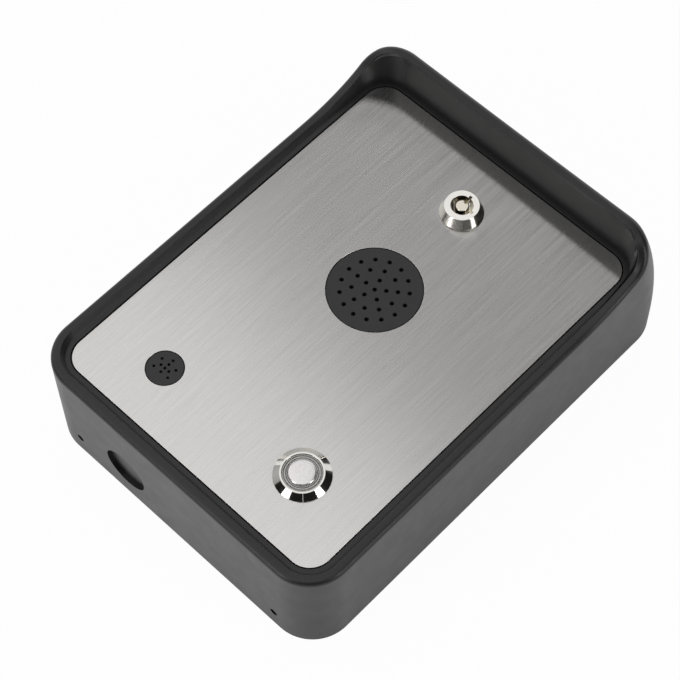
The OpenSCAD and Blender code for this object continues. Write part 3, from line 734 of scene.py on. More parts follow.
def black_grille():
    return shared("grille_black", moulded_plastic, chosen("grille"), 0.5, 2200, 0.03 * MM)


def black_rubber():
    return shared("rubber", rubber, chosen("rubber"))


def nickel():
    return shared("bright_nickel", bright_nickel, chosen("nickel"))


def zinc():
    return shared("zinc_sheet", satin_metal, (0.62, 0.62, 0.6), 0.34)


# Geometry Nodes


class Tree:
    """A node tree that works on a piece's mesh, with named inputs and a closing material."""

    def __init__(self, name):
        self.group = bpy.data.node_groups.new(name, "GeometryNodeTree")
        for way in ("INPUT", "OUTPUT"):
            self.group.interface.new_socket("Geometry", in_out=way, socket_type="NodeSocketGeometry")
        self.values = {}
        self.start = self.group.nodes.new("NodeGroupInput")
        self.end = self.group.nodes.new("NodeGroupOutput")

    def input(self, name, kind, value):
        """Adds a named input and returns its socket inside the tree."""
        socket = self.group.interface.new_socket(name, in_out="INPUT", socket_type="NodeSocket" + kind)
        self.values[socket.identifier] = value
        return self.start.outputs[name]

    def node(self, kind, inputs=None, output=0, **settings):
        """One output of a new node."""
        return add_node(self.group, kind, inputs, **settings).outputs[output]

    def join(self, sockets):
        gather = self.group.nodes.new("GeometryNodeJoinGeometry")
        for socket in sockets:
            self.group.links.new(socket, gather.inputs["Geometry"])
        return gather.outputs["Geometry"]

    def close(self, socket, material):
        real = self.node("GeometryNodeRealizeInstances", {"Geometry": socket})
        painted = self.node("GeometryNodeSetMaterial", {"Geometry": real, "Material": material})
        self.group.links.new(painted, self.end.inputs["Geometry"])

    def run(self, obj):
        """Runs the tree on a piece and leaves a plain mesh."""
        step = obj.modifiers.new(self.group.name, "NODES")
        step.node_group = self.group
        for identifier, value in self.values.items():
            step[identifier] = value
        return bake(obj)


def perforate(obj, centre, rings, hole, depth, material):
    """Drills a middle hole and rings (radius, count, first angle, holes left out) through a disc."""
    tree = Tree("perforations")
    radius = tree.input("Hole radius", "Float", hole / 2)
    deep = tree.input("Depth", "Float", depth)
    spots = [tree.node("GeometryNodeMeshLine", {"Count": 1})]
    for number, (size, holes, first, left_out) in enumerate(rings):
        reach = tree.input(f"Ring {number + 1}", "Float", size)
        spot = tree.node("GeometryNodeMeshCircle", {"Vertices": holes, "Radius": reach})
        if left_out:
            index = tree.node("GeometryNodeInputIndex")
            last = tree.node(
                "FunctionNodeCompare", {2: index, 3: holes - left_out}, data_type="INT",
                operation="GREATER_EQUAL",
            )
            spot = tree.node("GeometryNodeDeleteGeometry", {"Geometry": spot, "Selection": last})
        turn = (0, 0, math.radians(first))
        spots.append(tree.node("GeometryNodeTransform", {"Geometry": spot, "Rotation": turn}))
    drill = tree.node("GeometryNodeMeshCylinder", {"Vertices": 20, "Radius": radius, "Depth": deep})
    drills = tree.node("GeometryNodeInstanceOnPoints", {"Points": tree.join(spots), "Instance": drill})
    placed = tree.node("GeometryNodeTransform", {"Geometry": drills, "Translation": tuple(centre)})
    cut = tree.node(
        "GeometryNodeMeshBoolean", {"Mesh 1": tree.start.outputs["Geometry"], "Mesh 2": placed},
        operation="DIFFERENCE", solver="EXACT",
    )
    tree.close(cut, material)
    return tree.run(obj)


def scatter(name, spots, template, material, turns=None):
    """Stands a copy of a template on each spot, turned about the vertical if angles are given."""
    points = mesh_object(name, spots, [])
    angle = points.data.attributes.new("turn", "FLOAT", "POINT")
    angle.data.foreach_set("value", turns or [0.0] * len(spots))
    tree = Tree(name)
    source = tree.input("Template", "Object", template)
    shape = tree.node("GeometryNodeObjectInfo", {"Object": source}, "Geometry")
    turn = tree.node("GeometryNodeInputNamedAttribute", {"Name": "turn"}, "Attribute", data_type="FLOAT")
    spin = tree.node("ShaderNodeCombineXYZ", {"Z": turn})
    copies = tree.node(
        "GeometryNodeInstanceOnPoints",
        {"Points": tree.start.outputs["Geometry"], "Instance": shape, "Rotation": spin},
    )
    tree.close(copies, material)
    tree.run(points)
    bpy.data.objects.remove(template)
    return points


def coil(name, radius, wire, low, high, turns, centre, material):
    """A round wire spring that stands on a point."""
    tree = Tree(name)
    reach = tree.input("Radius", "Float", radius)
    tall = tree.input("Height", "Float", high - low)
    number = tree.input("Turns", "Float", turns)
    thick = tree.input("Wire radius", "Float", wire / 2)
    line = tree.node(
        "GeometryNodeCurveSpiral",
        {"Resolution": 24, "Rotations": number, "Start Radius": reach, "End Radius": reach, "Height": tall},
    )
    ring = tree.node("GeometryNodeCurvePrimitiveCircle", {"Resolution": 10, "Radius": thick})
    tube = tree.node("GeometryNodeCurveToMesh", {"Curve": line, "Profile Curve": ring, "Fill Caps": True})
    place = (centre[0], centre[1], low)
    tree.close(tree.node("GeometryNodeTransform", {"Geometry": tube, "Translation": place}), material)
    return tree.run(mesh_object(name, [(0, 0, 0)], []))


# Housing


class Shell:
    """The housing's skin, worked out from its sizes as rings of points round its outline."""

    corner_steps = 20
    sweep_steps = 40
    crest_steps = 16

    def __init__(self, sizes):
        self.s = sizes
        self.half_w = HOUSING_HIGH.x
        self.half_h = HOUSING_HIGH.y
        self.rim_z = FRONT_Z + sizes.rim_rise
        self.hood_z = FRONT_Z + sizes.hood_rise
        rise = self.hood_z - self.rim_z
        turn = 2 * math.atan(rise / sizes.hood_run)
        arcs = sizes.hood_run / math.sin(turn)
        self.lower_r = arcs * sizes.sweep_share
        self.upper_r = arcs - self.lower_r
        self.sweep_end = self.half_h - sizes.roof_lean + sizes.hood_overshoot
        self.sweep_start = self.sweep_end - sizes.hood_run
        self.lower_end = self.sweep_start + self.lower_r * math.sin(turn)
        roof_rise = self.hood_z - sizes.roof_straight
        self.roof_r = (roof_rise**2 + sizes.roof_lean**2) / (2 * sizes.roof_lean)
        self.make_stations()
        self.crest_top = self.roof_y(self.hood_z)
        outer = self.place(self.half_w, -self.half_h, self.crest_top, sizes.corner)
        dip = np.where(self.side_x == 0, sizes.hood_sag * (1 - self.t**2), 0)
        self.crest = self.rim_height(outer[:, 1]) - dip

    def make_stations(self):
        """Round the outline from the foot's right corner: sides, then the angle or share there."""
        corner = np.linspace(0, 90, self.corner_steps + 1)
        sweep = np.linspace(0, 1, self.sweep_steps + 1)[:-1]
        crest = np.linspace(1, -1, self.crest_steps + 1)[1:-1]
        runs = [
            (1, -1, 270 + corner), (1, 0, sweep), (1, 1, corner), (0, 1, crest),
            (-1, 1, 90 + corner), (-1, 0, 1 - sweep - 1 / self.sweep_steps), (-1, -1, 180 + corner),
        ]
        self.side_x = np.concatenate([np.full(len(t), x) for x, y, t in runs])
        self.side_y = np.concatenate([np.full(len(t), y) for x, y, t in runs])
        self.t = np.concatenate([t for x, y, t in runs])

    def place(self, w, low, top, r):
        """The stations' places on a rounded rectangle, whose top may differ from one to the next."""
        x, y, t = self.side_x, self.side_y, self.t
        a = np.radians(t)
        across = np.where(y == 0, x * w, np.where(x == 0, t * (w - r), x * (w - r) + r * np.cos(a)))
        along_side = self.sweep_start + (top - r - self.sweep_start) * t
        round_corner = np.where(y > 0, top - r, low + r) + r * np.sin(a)
        up = np.where(y == 0, along_side, np.where(x == 0, top, round_corner))
        return np.stack([across, up + 0 * across], axis=1)

    def rim_height(self, y):
        """The rim's height along the sides, where two arcs sweep it up to the hood."""
        lower = self.rim_z + self.lower_r - np.sqrt(
            np.maximum(self.lower_r**2 - (y - self.sweep_start) ** 2, 0)
        )
        upper = self.hood_z - self.upper_r + np.sqrt(
            np.maximum(self.upper_r**2 - (self.sweep_end - y) ** 2, 0)
        )
        height = np.where(y < self.lower_end, lower, upper)
        height = np.where(y >= self.sweep_end, self.hood_z, height)
        return np.where(y <= self.sweep_start, self.rim_z, height)

    def roof_y(self, z):
        """How far up the wall the roof reaches, which leans back above its straight foot."""
        over = np.maximum(np.asarray(z, float) - self.s.roof_straight, 0)
        return self.half_h - (self.roof_r - np.sqrt(self.roof_r**2 - over**2))

    def outer(self, inset, share, drop=0.0, lift=0.0):
        """A ring on the outer face, inset from it, at a share of the crest's height."""
        z = self.crest * share - drop + lift
        flat = self.place(
            self.half_w - inset, inset - self.half_h, self.roof_y(z) - inset, self.s.corner - inset
        )
        return np.column_stack([flat, z])

    def level(self, w, low, top, r, z):
        """A flat ring on a rounded rectangle."""
        flat = self.place(w, low, top, r)
        return np.column_stack([flat, np.full(len(flat), z)])

    def round_plate(self, out, z):
        """A flat ring outside the face plate's outline."""
        return self.level(
            PLATE_HIGH.x + out, PLATE_LOW.y - out, PLATE_HIGH.y + out, self.s.plate_corner + out, z
        )

    def inside(self, z):
        """A flat ring on the walls' inner face."""
        wall = self.s.wall
        return self.level(
            self.half_w - wall, wall - self.half_h, self.roof_y(z) - wall, self.s.corner - wall, z
        )

    def throat(self, share, soften=0.0):
        """A ring between the ledge round the plate and the rim's inner edge."""
        s = self.s
        ledge_z = FRONT_Z + s.ledge_lift
        z = ledge_z + (self.crest - s.rim_edge - ledge_z) * share
        full = (z - ledge_z) / (self.hood_z - s.rim_edge - ledge_z)
        ledge = {"w": PLATE_HIGH.x + s.ledge, "low": PLATE_LOW.y - s.ledge,
                 "top": PLATE_HIGH.y + s.ledge, "r": s.plate_corner + s.ledge}
        w = ledge["w"] + (self.half_w - s.rim_width - ledge["w"]) * share - soften
        low = ledge["low"] + (s.rim_width - self.half_h - ledge["low"]) * share + soften
        top = ledge["top"] + (self.crest_top - s.rim_width - ledge["top"]) * full - soften
        r = ledge["r"] + (s.corner - s.rim_width - ledge["r"]) * share - soften
        return np.column_stack([self.place(w, low, top, r), z])

    def rings(self):
        """The rings of the skin: up the outer face, over the rim, down to the plate and back inside."""
        s = self.s
        ledge_z = FRONT_Z + s.ledge_lift
        shelf_z = PLATE_LOW.z - s.shelf_drop
        under_z = shelf_z - s.shelf_thick
        rings = []
        for a in np.radians(np.linspace(0, 90, 5)):
            lift = s.foot_edge * (1 - math.cos(a))
            rings.append(self.outer(s.foot_edge * (1 - math.sin(a)), 0, lift=lift))
        rings += [self.outer(0, share) for share in np.linspace(0.06, 0.94, 15)]
        rings.append(self.outer(0, 1, s.rim_fillet * 1.25))
        for a in np.radians(np.linspace(0, 90, 9)):
            rings.append(self.outer(s.rim_fillet * (1 - math.cos(a)), 1, s.rim_fillet * (1 - math.sin(a))))
        rings.append(self.outer(s.rim_fillet * 1.2, 1))
        rings.append(self.outer(s.rim_width - s.rim_edge * 1.4, 1))
        for a in np.radians(np.linspace(0, 75, 6)):
            rings.append(
                self.outer(s.rim_width - s.rim_edge * (1 - math.sin(a)), 1, s.rim_edge * (1 - math.cos(a)))
            )
        rings += [self.throat(share) for share in (0.97, 0.85, 0.7, 0.55, 0.4, 0.25, 0.12, 0.05)]
        rings += [
            self.throat(0, 0.08 * MM),
            self.round_plate(s.plate_gap + 0.25 * MM, ledge_z),
            self.round_plate(s.plate_gap + 0.07 * MM, ledge_z - 0.07 * MM),
            self.round_plate(s.plate_gap, ledge_z - 0.25 * MM),
            self.round_plate(s.plate_gap, shelf_z),
            self.round_plate(-s.shelf, shelf_z),
            self.round_plate(-s.shelf, under_z),
            self.inside(under_z),
        ]
        rings += [self.inside(z) for z in np.linspace(under_z - 3 * MM, s.roof_straight, 7)]
        rings.append(self.inside(0))
        return rings


def housing_skin(sizes):
    """The housing's moulding as one closed skin over its rings."""
    rings = Shell(sizes).rings()
    count_round = len(rings[0])
    points = np.concatenate(rings)
    faces = []
    for k in range(len(rings)):
        n = (k + 1) % len(rings)
        for i in range(count_round):
            j = (i + 1) % count_round
            this, following = k * count_round, n * count_round
            faces.append((this + i, this + j, following + j, following + i))
    return tidy(mesh_object("housing_moulding", points, faces))


class INTERCOM_OT_housing(bpy.types.Operator):
    """Mould the housing with its rim, rain hood, ledge, bosses, knockout and drain holes"""

    bl_idname = "intercom.housing"
    bl_label = "Housing"

    def execute(self, context):
        s = context.scene.intercom_housing
        half_w, half_h = HOUSING_HIGH.x, HOUSING_HIGH.y
        body = housing_skin(s)
        fix_x, fix_y = half_w - s.fixing_side, half_h - s.fixing_end
        fixings = [(x, y) for x in (-fix_x, fix_x) for y in (-fix_y, fix_y)]
        inset = s.wall / 2
        outline = rounded_box(
            (inset - half_w, inset - half_h), (half_w - inset, half_h - inset), s.corner - inset, 16
        )
        floor_z = s.back_recess + s.back
        holes = [circle(x, y, s.fixing / 2) for x, y in fixings]
        carve(body, sheet("back_wall", [outline] + holes, s.back_recess, floor_z), "UNION")
        overrun = 3 * MM
        for side in (-1, 1):
            place = (side * (half_w - s.drain_side), -half_h, s.drain_up)
            carve(body, drum(s.drain / 2, -overrun, overrun + s.wall, place, 32))
        place = (-s.knockout_side, -half_h, s.knockout_up)
        carve(body, drum(s.knockout / 2, -overrun, s.knockout_depth, place, 96))
        inside = self.fixing_bosses(fixings, s.fixing / 2, floor_z) + self.board_bosses(floor_z)
        body = smooth(joined([body] + inside + [self.strike_rib(s.shelf)]), 30)
        finish(body, "housing", black_plastic(), "housing", slot="housing")
        return {"FINISHED"}

    def fixing_bosses(self, places, bore, floor_z):
        """Low bosses round the fixing holes."""
        wide, tall, sunk = 6 * MM, 2.2 * MM, 0.2 * MM
        profile = [(bore, 0, 0), (wide, 0, 0), (wide - sunk, tall, 0.4 * MM), (bore, tall, 0.2 * MM)]
        return [lathe("fixing_boss", profile, (x, y, floor_z - sunk), 48) for x, y in places]

    def board_bosses(self, floor_z):
        """Tapered bosses that carry the circuit board at its screws."""
        bore, wide, top, head, sunk = 1.2 * MM, 4.6 * MM, 4 * MM, 2.8 * MM, 0.02 * MM
        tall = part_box("circuit_board")[0].z - floor_z
        profile = [(bore, 0, 0), (wide, 0, 0), (top, tall, 0.2 * MM), (bore, tall, 0)]
        low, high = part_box("board_screws")
        return [
            lathe("board_boss", profile, (x, y, floor_z - sunk), 48)
            for x in (low.x + head, high.x - head) for y in (low.y + head, high.y - head)
        ]

    def strike_rib(self, shelf):
        """The rib under the roof that the lock's cam swings behind."""
        half, tall, roof, gap = 10 * MM, 3.5 * MM, 3.6 * MM, 0.3 * MM
        x, low_z = middle("lock_barrel").x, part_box("lock_cam")[1].z + gap
        low = (x - half, PLATE_HIGH.y - shelf, low_z)
        high = (x + half, HOUSING_HIGH.y - roof, low_z + tall)
        return block("strike_rib", low, high, 0.3 * MM)


class INTERCOM_OT_face_plate(bpy.types.Operator):
    """Cut the brushed face plate, round the edges of its hooks and lay its gasket"""

    bl_idname = "intercom.face_plate"
    bl_label = "Face plate"

    def execute(self, context):
        s = context.scene.intercom_plate
        sound, button = context.scene.intercom_sound, context.scene.intercom_button
        outline = rounded_box(PLATE_LOW, PLATE_HIGH, context.scene.intercom_housing.plate_corner, 24)
        holes = [
            (middle("speaker_grille"), sound.speaker),
            (middle("mic_grille"), sound.mic),
            (middle("button_bezel"), button.barrel / 2),
            (middle("lock_barrel"), LOCK_THREAD / 2),
        ]
        plate = sheet(
            "steel_face_plate", [outline] + [circle(c.x, c.y, r + s.hole_gap, 96) for c, r in holes],
            PLATE_LOW.z, PLATE_HIGH.z, s.edge,
        )
        per_metre, shift = 4, 0.5
        brush = plate.data.uv_layers.new(name="brush")
        for loop in plate.data.loops:
            spot = plate.data.vertices[loop.vertex_index].co
            brush.data[loop.index].uv = (spot.x * per_metre + shift, spot.y * per_metre + shift)
        steel = brushed_steel("brushed_plate", chosen("steel"))
        finish(smooth(plate), "door", steel, "face_plate", slot="plate")
        refit("hinge_hooks", "sheet_hooks", 0.25, "door", zinc(), "hooks")
        stud_pitch, proud = 0.5 * MM, 0.2 * MM
        studs = [
            threaded(
                "stud", high.x - low.x, stud_pitch, low.z, high.z + proud,
                ((low.x + high.x) / 2, (low.y + high.y) / 2, 0),
            )
            for low, high in islands("plate_studs")
        ]
        finish(smooth(joined(studs)), "door", zinc(), "plate_studs", slot="hooks")
        dress("plate_gasket", black_rubber())
        return {"FINISHED"}


def grille_disc(name, face, wide, deep, edge, spot, segments):
    """A disc that fills its hole in the plate and spreads behind the plate."""
    profile = [
        (0, -deep, 0), (wide, -deep, 0.2 * MM), (wide, PLATE_BACK, 0.2 * MM), (face, PLATE_BACK, 0),
        (face, 0, edge), (0, 0, 0),
    ]
    return lathe(name, profile, spot, segments)


class INTERCOM_OT_speaker(bpy.types.Operator):
    """Turn the speaker's perforated disc and the driver behind it"""

    bl_idname = "intercom.speaker"
    bl_label = "Speaker"

    def execute(self, context):
        s = context.scene.intercom_sound
        spot = foot("speaker_grille")
        low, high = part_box("speaker_grille")
        flange = high.z - low.z
        grille = grille_disc("speaker_disc", s.speaker, high.x - spot.x, flange, s.edge, spot, 128)
        rings = [
            (ring * s.speaker_pitch, 5 * ring, 36 / ring * (ring % 2), 0)
            for ring in range(1, s.speaker_rings + 1)
        ]
        perforate(grille, spot, rings, s.hole, 3 * flange, black_grille())
        finish(smooth(grille), "door", black_grille(), "speaker_grille", slot="grilles")
        dress("speaker_mesh", shared("dust_cloth", woven_cloth, (0.02, 0.02, 0.02)))
        dress("speaker_basket", shared("grey_zinc", satin_metal, (0.3, 0.31, 0.32), 0.4))
        dress("speaker_cone", shared("pressed_paper", rubber, (0.02, 0.02, 0.02)))
        dress("speaker_magnet", shared("ferrite", rubber, (0.09, 0.09, 0.09)))
        dress("speaker_clamp", zinc())
        dress("speaker_nuts", nickel())
        return {"FINISHED"}


class INTERCOM_OT_microphone(bpy.types.Operator):
    """Turn the microphone's perforated disc and the capsule in its boot"""

    bl_idname = "intercom.microphone"
    bl_label = "Microphone"

    def execute(self, context):
        s = context.scene.intercom_sound
        spot = foot("mic_grille")
        flange = 3 * MM
        disc = grille_disc("microphone_disc", s.mic, s.mic + 2 * MM, flange, s.edge, spot, 96)
        rings = [(s.mic_inner, 4, 0, 0), (s.mic_outer, 6, -30, 1)]
        perforate(disc, spot, rings, s.mic_hole, 3 * flange, black_grille())
        finish(smooth(disc), "door", black_grille(), "mic_grille", slot="grilles")
        dress("mic_boot", black_rubber())
        dress("mic_capsule", shared("satin_aluminium", satin_metal, (0.75, 0.76, 0.77), 0.3))
        return {"FINISHED"}


class INTERCOM_OT_call_button(bpy.types.Operator):
    """Turn the call button's bezel, light ring, cap, spring and nut"""

    bl_idname = "intercom.call_button"
    bl_label = "Call button"

    def execute(self, context):
        s = context.scene.intercom_button
        spot = foot("button_bezel")
        light, bore, gap = s.light / 2, s.cap / 2 + BUTTON_GAP, BUTTON_GAP
        self.bezel(s, spot, light + gap)
        self.light_ring(s, spot, light, bore)
        self.cap(s, spot)
        low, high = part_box("button_spring")
        coil_r, wire = 2.6 * MM, 0.7 * MM
        spring = coil(
            "return_spring", coil_r, wire, low.z + wire / 2, high.z - wire / 2, s.coils, spot, zinc()
        )
        smooth(spring)
        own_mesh(spring)
        finish(spring, "door", zinc(), "button_spring", slot="spring")
        refit("button_nut", "button_hex_nut", 0.35, "door", nickel(), "fasteners")
        socket = shared("black_socket", smooth_plastic, (0.02, 0.02, 0.022), 0.35)
        refit("button_base", "button_socket", 0.3, "door", socket, "button_body")
        dress("button_seal", black_rubber())
        dress("button_terminals", shared("bright_brass", satin_metal, (0.72, 0.55, 0.26), 0.25))
        return {"FINISHED"}

    def bezel(self, s, spot, bore):
        """The bright head with its tapered edge, its cup and the threaded barrel."""
        head, top, cup, neck = s.head / 2, s.head_top / 2, 8.5 * MM, 9 * MM
        cup_z, neck_z, band = s.head_height - 6 * MM, -3 * MM, 0.3 * MM
        ring = lathe(
            "button_bezel_ring",
            [(bore, cup_z, 0), (cup, cup_z, 0), (cup, neck_z, 0), (neck, neck_z, 0), (neck, 0, 0),
             (head, 0, 0.1 * MM), (head, band, 0.12 * MM), (top, s.head_height, 0.14 * MM),
             (bore, s.head_height, 0.12 * MM)],
            spot, 128,
        )
        barrel = threaded("barrel", s.barrel, s.pitch, -s.barrel_length, THREAD_TOP, spot, bore=2 * cup)
        finish(smooth(joined([ring, barrel])), "door", nickel(), "button_bezel", slot="bright")

    def light_ring(self, s, spot, light, bore):
        """The lens with its foot, its raised edges and a groove beside each."""
        foot_r, foot_z, foot_top = light + 0.6 * MM, -5.8 * MM, -3.8 * MM
        ring_z = s.head_height - 0.2 * MM
        edge_z, groove_z = ring_z - 0.1 * MM, ring_z - MM
        ring = lathe(
            "button_ring_lens",
            [(bore, foot_z, 0), (foot_r, foot_z, 0), (foot_r, foot_top, 0), (light, foot_top, 0),
             (light, edge_z, 0.12 * MM), (light - 0.4 * MM, ring_z, 0.06 * MM),
             (light - 0.42 * MM, groove_z, 0), (light - 0.8 * MM, groove_z, 0),
             (light - 0.82 * MM, edge_z, 0.06 * MM), (bore + 0.7 * MM, edge_z, 0.06 * MM),
             (bore + 0.68 * MM, groove_z, 0), (bore + 0.37 * MM, groove_z, 0),
             (bore + 0.35 * MM, ring_z, 0.06 * MM), (bore, edge_z, 0.12 * MM)],
            spot, 128,
        )
        lens = light_plastic("ring_light_lens", chosen("light"))
        finish(smooth(ring, 40), "door", lens, "button_light_ring", slot="light_ring")

    def cap(self, s, spot):
        """The slightly domed cap on its stem."""
        cap_r, cap_z, stem, dome = s.cap / 2, s.head_height + s.cap_rise, 2 * MM, 0.1 * MM
        stem_z, skirt_z = cap_z - 17.6 * MM, cap_z - 4 * MM
        rise = [(cap_r * share, cap_z - dome * share**2, 0) for share in (0.66, 0.5, 0.34, 0.17)]
        cap = lathe(
            "button_cap_dome",
            [(0, stem_z, 0), (stem, stem_z, 0.3 * MM), (stem, skirt_z, 0.2 * MM),
             (cap_r, skirt_z, 0.2 * MM), (cap_r, cap_z - dome, 0.8 * MM)] + rise + [(0, cap_z, 0)],
            spot, 128, 8,
        )
        finish(smooth(cap, 40), "cap", satin_cap("satin_cap", chosen("cap")), "button_cap", slot="cap")


class INTERCOM_OT_lock(bpy.types.Operator):
    """Turn the lock's barrel, keyway, plug, nut and cam"""

    bl_idname = "intercom.lock"
    bl_label = "Key lock"

    def execute(self, context):
        s = context.scene.intercom_lock
        spot = foot("lock_barrel")
        self.barrel(s, spot)
        self.plug(s.post / 2, spot)
        refit("lock_nut", "lock_hex_nut", 0.4, "door", nickel(), "fasteners")
        refit("lock_cam", "cam_sheet", 0.25, "lock", zinc(), "hooks")
        refit("cam_screw", "cam_cross_screw", 0.3, "lock", nickel(), "fasteners")
        return {"FINISHED"}

    def barrel(self, s, spot):
        """The tapered head with its round keyway and two notches, and the threaded body."""
        head, face, keyway, bore, neck = s.head / 2, s.face / 2, s.keyway / 2, 5.6 * MM, 7 * MM
        neck_z, floor_z, undercut = -3.2 * MM, s.head_height - 7 * MM, head - 0.5 * MM
        barrel = lathe(
            "lock_head",
            [(bore, neck_z, 0), (neck, neck_z, 0), (neck, 0, 0), (undercut, 0, 0),
             (undercut, 0.6 * s.lip, 0), (head, s.lip, 0.06 * MM), (face, s.head_height, 0.3 * MM),
             (keyway, s.head_height, 0.15 * MM), (keyway, floor_z, 0), (bore, floor_z, 0)],
            spot, 128,
        )
        for turn in (0, 90):
            high = (keyway + s.notch_reach, s.notch / 2, spot.z + 8 * MM)
            notch = block("notch", (0, -s.notch / 2, spot.z), high, 0.25 * MM)
            notch.data.transform(
                Matrix.Translation((spot.x, spot.y, 0)) @ Matrix.Rotation(math.radians(turn), 4, "Z")
            )
            carve(barrel, notch)
        low_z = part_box("lock_barrel")[0].z - spot.z
        body = threaded(
            "lock_thread", LOCK_THREAD, s.pitch, low_z, THREAD_TOP, spot, bore=2 * bore, flat=13.6 * MM
        )
        finish(smooth(joined([barrel, body])), "door", nickel(), "lock_barrel", slot="bright")

    def plug(self, post, spot):
        """The plug, whose post has a chamfered end."""
        plug = refined("lock_plug", "lock_post", 0.15 * MM)
        wide, over = post + 0.6 * MM, 0.02 * MM
        chamfer = lathe(
            "post_chamfer",
            [(post - 0.45 * MM, over, 0), (wide, over, 0), (wide, -0.8 * MM, 0),
             (post + 0.03 * MM, -0.38 * MM, 0)],
            (spot.x, spot.y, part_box("lock_plug")[1].z),
        )
        plating = shared("worn_plating", bright_nickel, chosen("brass"), 0.13)
        finish(smooth(carve(plug, chamfer)), "lock", plating, "lock_plug", slot="plug")


def stands(boxes):
    """The middle of each box's foot."""
    return [((low.x + high.x) / 2, (low.y + high.y) / 2, low.z) for low, high in boxes]


class INTERCOM_OT_board(bpy.types.Operator):
    """Dress the circuit board and what it carries"""

    bl_idname = "intercom.board"
    bl_label = "Circuit board"

    def execute(self, context):
        dress("circuit_board", circuit_mask("solder_mask", chosen("board")))
        dress("board_screws", nickel())
        tinned = shared("tinned_sheet", satin_metal, (0.68, 0.69, 0.7), 0.26)
        blue = shared("blue_case", smooth_plastic, (0.02, 0.09, 0.32), 0.3)
        ivory = shared("ivory_case", smooth_plastic, (0.75, 0.72, 0.62), 0.35)
        for node, name, edge, material, slot in (
            ("radio_module", "radio_can", 0.4, tinned, "shield"),
            ("sim_holder", "card_holder", 0.3, tinned, "shield"),
            ("relay", "relay_case", 0.7, blue, "relay"),
            ("trimmers", "trimmer_cases", 0.3, blue, "relay"),
            ("headers", "header_shells", 0.25, ivory, "headers"),
        ):
            refit(node, name, edge, "housing", material, slot)
        dress("terminal_block", shared("green_block", smooth_plastic, (0.02, 0.2, 0.07), 0.4))
        dress("terminal_screws", nickel())
        self.capacitors(shared("black_sleeve", smooth_plastic, (0.02, 0.022, 0.05), 0.28), tinned)
        self.chips(shared("moulded_epoxy", rubber, (0.018, 0.018, 0.018)), tinned)
        self.header_pins(tinned)
        dress("antenna", shared("copper_foil", satin_metal, (0.6, 0.36, 0.16), 0.3))
        return {"FINISHED"}

    def header_pins(self, tin):
        """Four square pins in each header."""
        half, first, pitch, sunk = 0.32 * MM, 2.45 * MM, 2.5 * MM, 0.6 * MM
        spots = [
            (low.x + first + k * pitch, (low.y + high.y) / 2, low.z)
            for low, high in islands("headers") for k in range(4)
        ]
        low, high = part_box("headers")
        pin = block("pin", (-half, -half, 0), (half, half, high.z - low.z - sunk), 0.12 * MM, 1)
        finish(scatter("header_pins", spots, pin, tin), "housing", tin, "headers", slot="contacts")

    def capacitors(self, sleeve, can):
        """Sleeved cans with a crimp near the foot and a scored top."""
        boxes = islands("capacitors")
        low, high = boxes[0]
        r, tall = (high.x - low.x) / 2, high.z - low.z
        crimp, rim, edge, floor_z = r - 0.5 * MM, r - MM, 0.4 * MM, tall - 0.3 * MM
        body = lathe(
            "can_sleeve",
            [(0, 0, 0), (r, 0, edge), (r, 1.4 * MM, edge), (crimp, 2 * MM, edge), (r, 2.6 * MM, edge),
             (r, tall, 0.5 * MM), (rim, tall, 0.1 * MM), (rim, floor_z, 0), (0, floor_z, 0)],
            (0, 0, 0), 48,
        )
        sleeves = scatter("capacitor_sleeves", stands(boxes), body, sleeve)
        finish(smooth(sleeves), "housing", sleeve, "capacitors", slot="capacitors")
        lid, groove = 0.28 * MM, 0.1 * MM
        top = lathe(
            "can_top", [(0, 0, 0), (rim, 0, 0), (rim, lid, 0.05 * MM), (0, lid, 0)],
            (0, 0, tall - 0.32 * MM), 48,
        )
        for turn in (0, 90):
            score = block("score", (-rim, -groove, tall - 0.12 * MM), (rim, groove, tall + MM))
            score.data.transform(Matrix.Rotation(math.radians(turn), 4, "Z"))
            carve(top, score)
        tops = scatter("capacitor_tops", stands(boxes), top, can)
        finish(smooth(tops), "housing", can, "capacitors", slot="shield")

    def chips(self, epoxy, tin):
        """Flat packages with a row of bent legs along both sides."""
        boxes = islands("chips")
        low, high = boxes[0]
        wide, deep, tall = high - low
        reach, lift, pitch = MM, 0.15 * MM, 1.27 * MM
        body = block(
            "package", (-wide / 2, reach - deep / 2, lift), (wide / 2, deep / 2 - reach, tall), 0.15 * MM
        )
        packages = scatter("chip_packages", stands(boxes), body, epoxy)
        finish(smooth(packages), "housing", epoxy, "chips", slot="chips")
        bent = [
            (1.2, 0.75), (0.75, 0.75), (0.5, 0.16), (0, 0.16), (0, 0), (0.6, 0), (0.85, 0.59), (1.2, 0.59)
        ]
        points = [(x * MM, (y - deep / MM / 2) * MM, z * MM) for x in (-0.2, 0.2) for y, z in bent]
        n = len(bent)
        faces = [(i, (i + 1) % n, n + (i + 1) % n, n + i) for i in range(n)]
        faces += [tuple(range(n))[::-1], tuple(range(n, 2 * n))]
        leg = tidy(mesh_object("leg", points, faces))
        feet, turns = [], []
        for x, y, z in stands(boxes):
            for k in range(7):
                for turn in (0.0, math.pi):
                    feet.append((x + (k - 3) * pitch, y, z))
                    turns.append(turn)
        finish(scatter("chip_legs", feet, leg, tin, turns), "housing", tin, "chips", slot="contacts")


# Stage


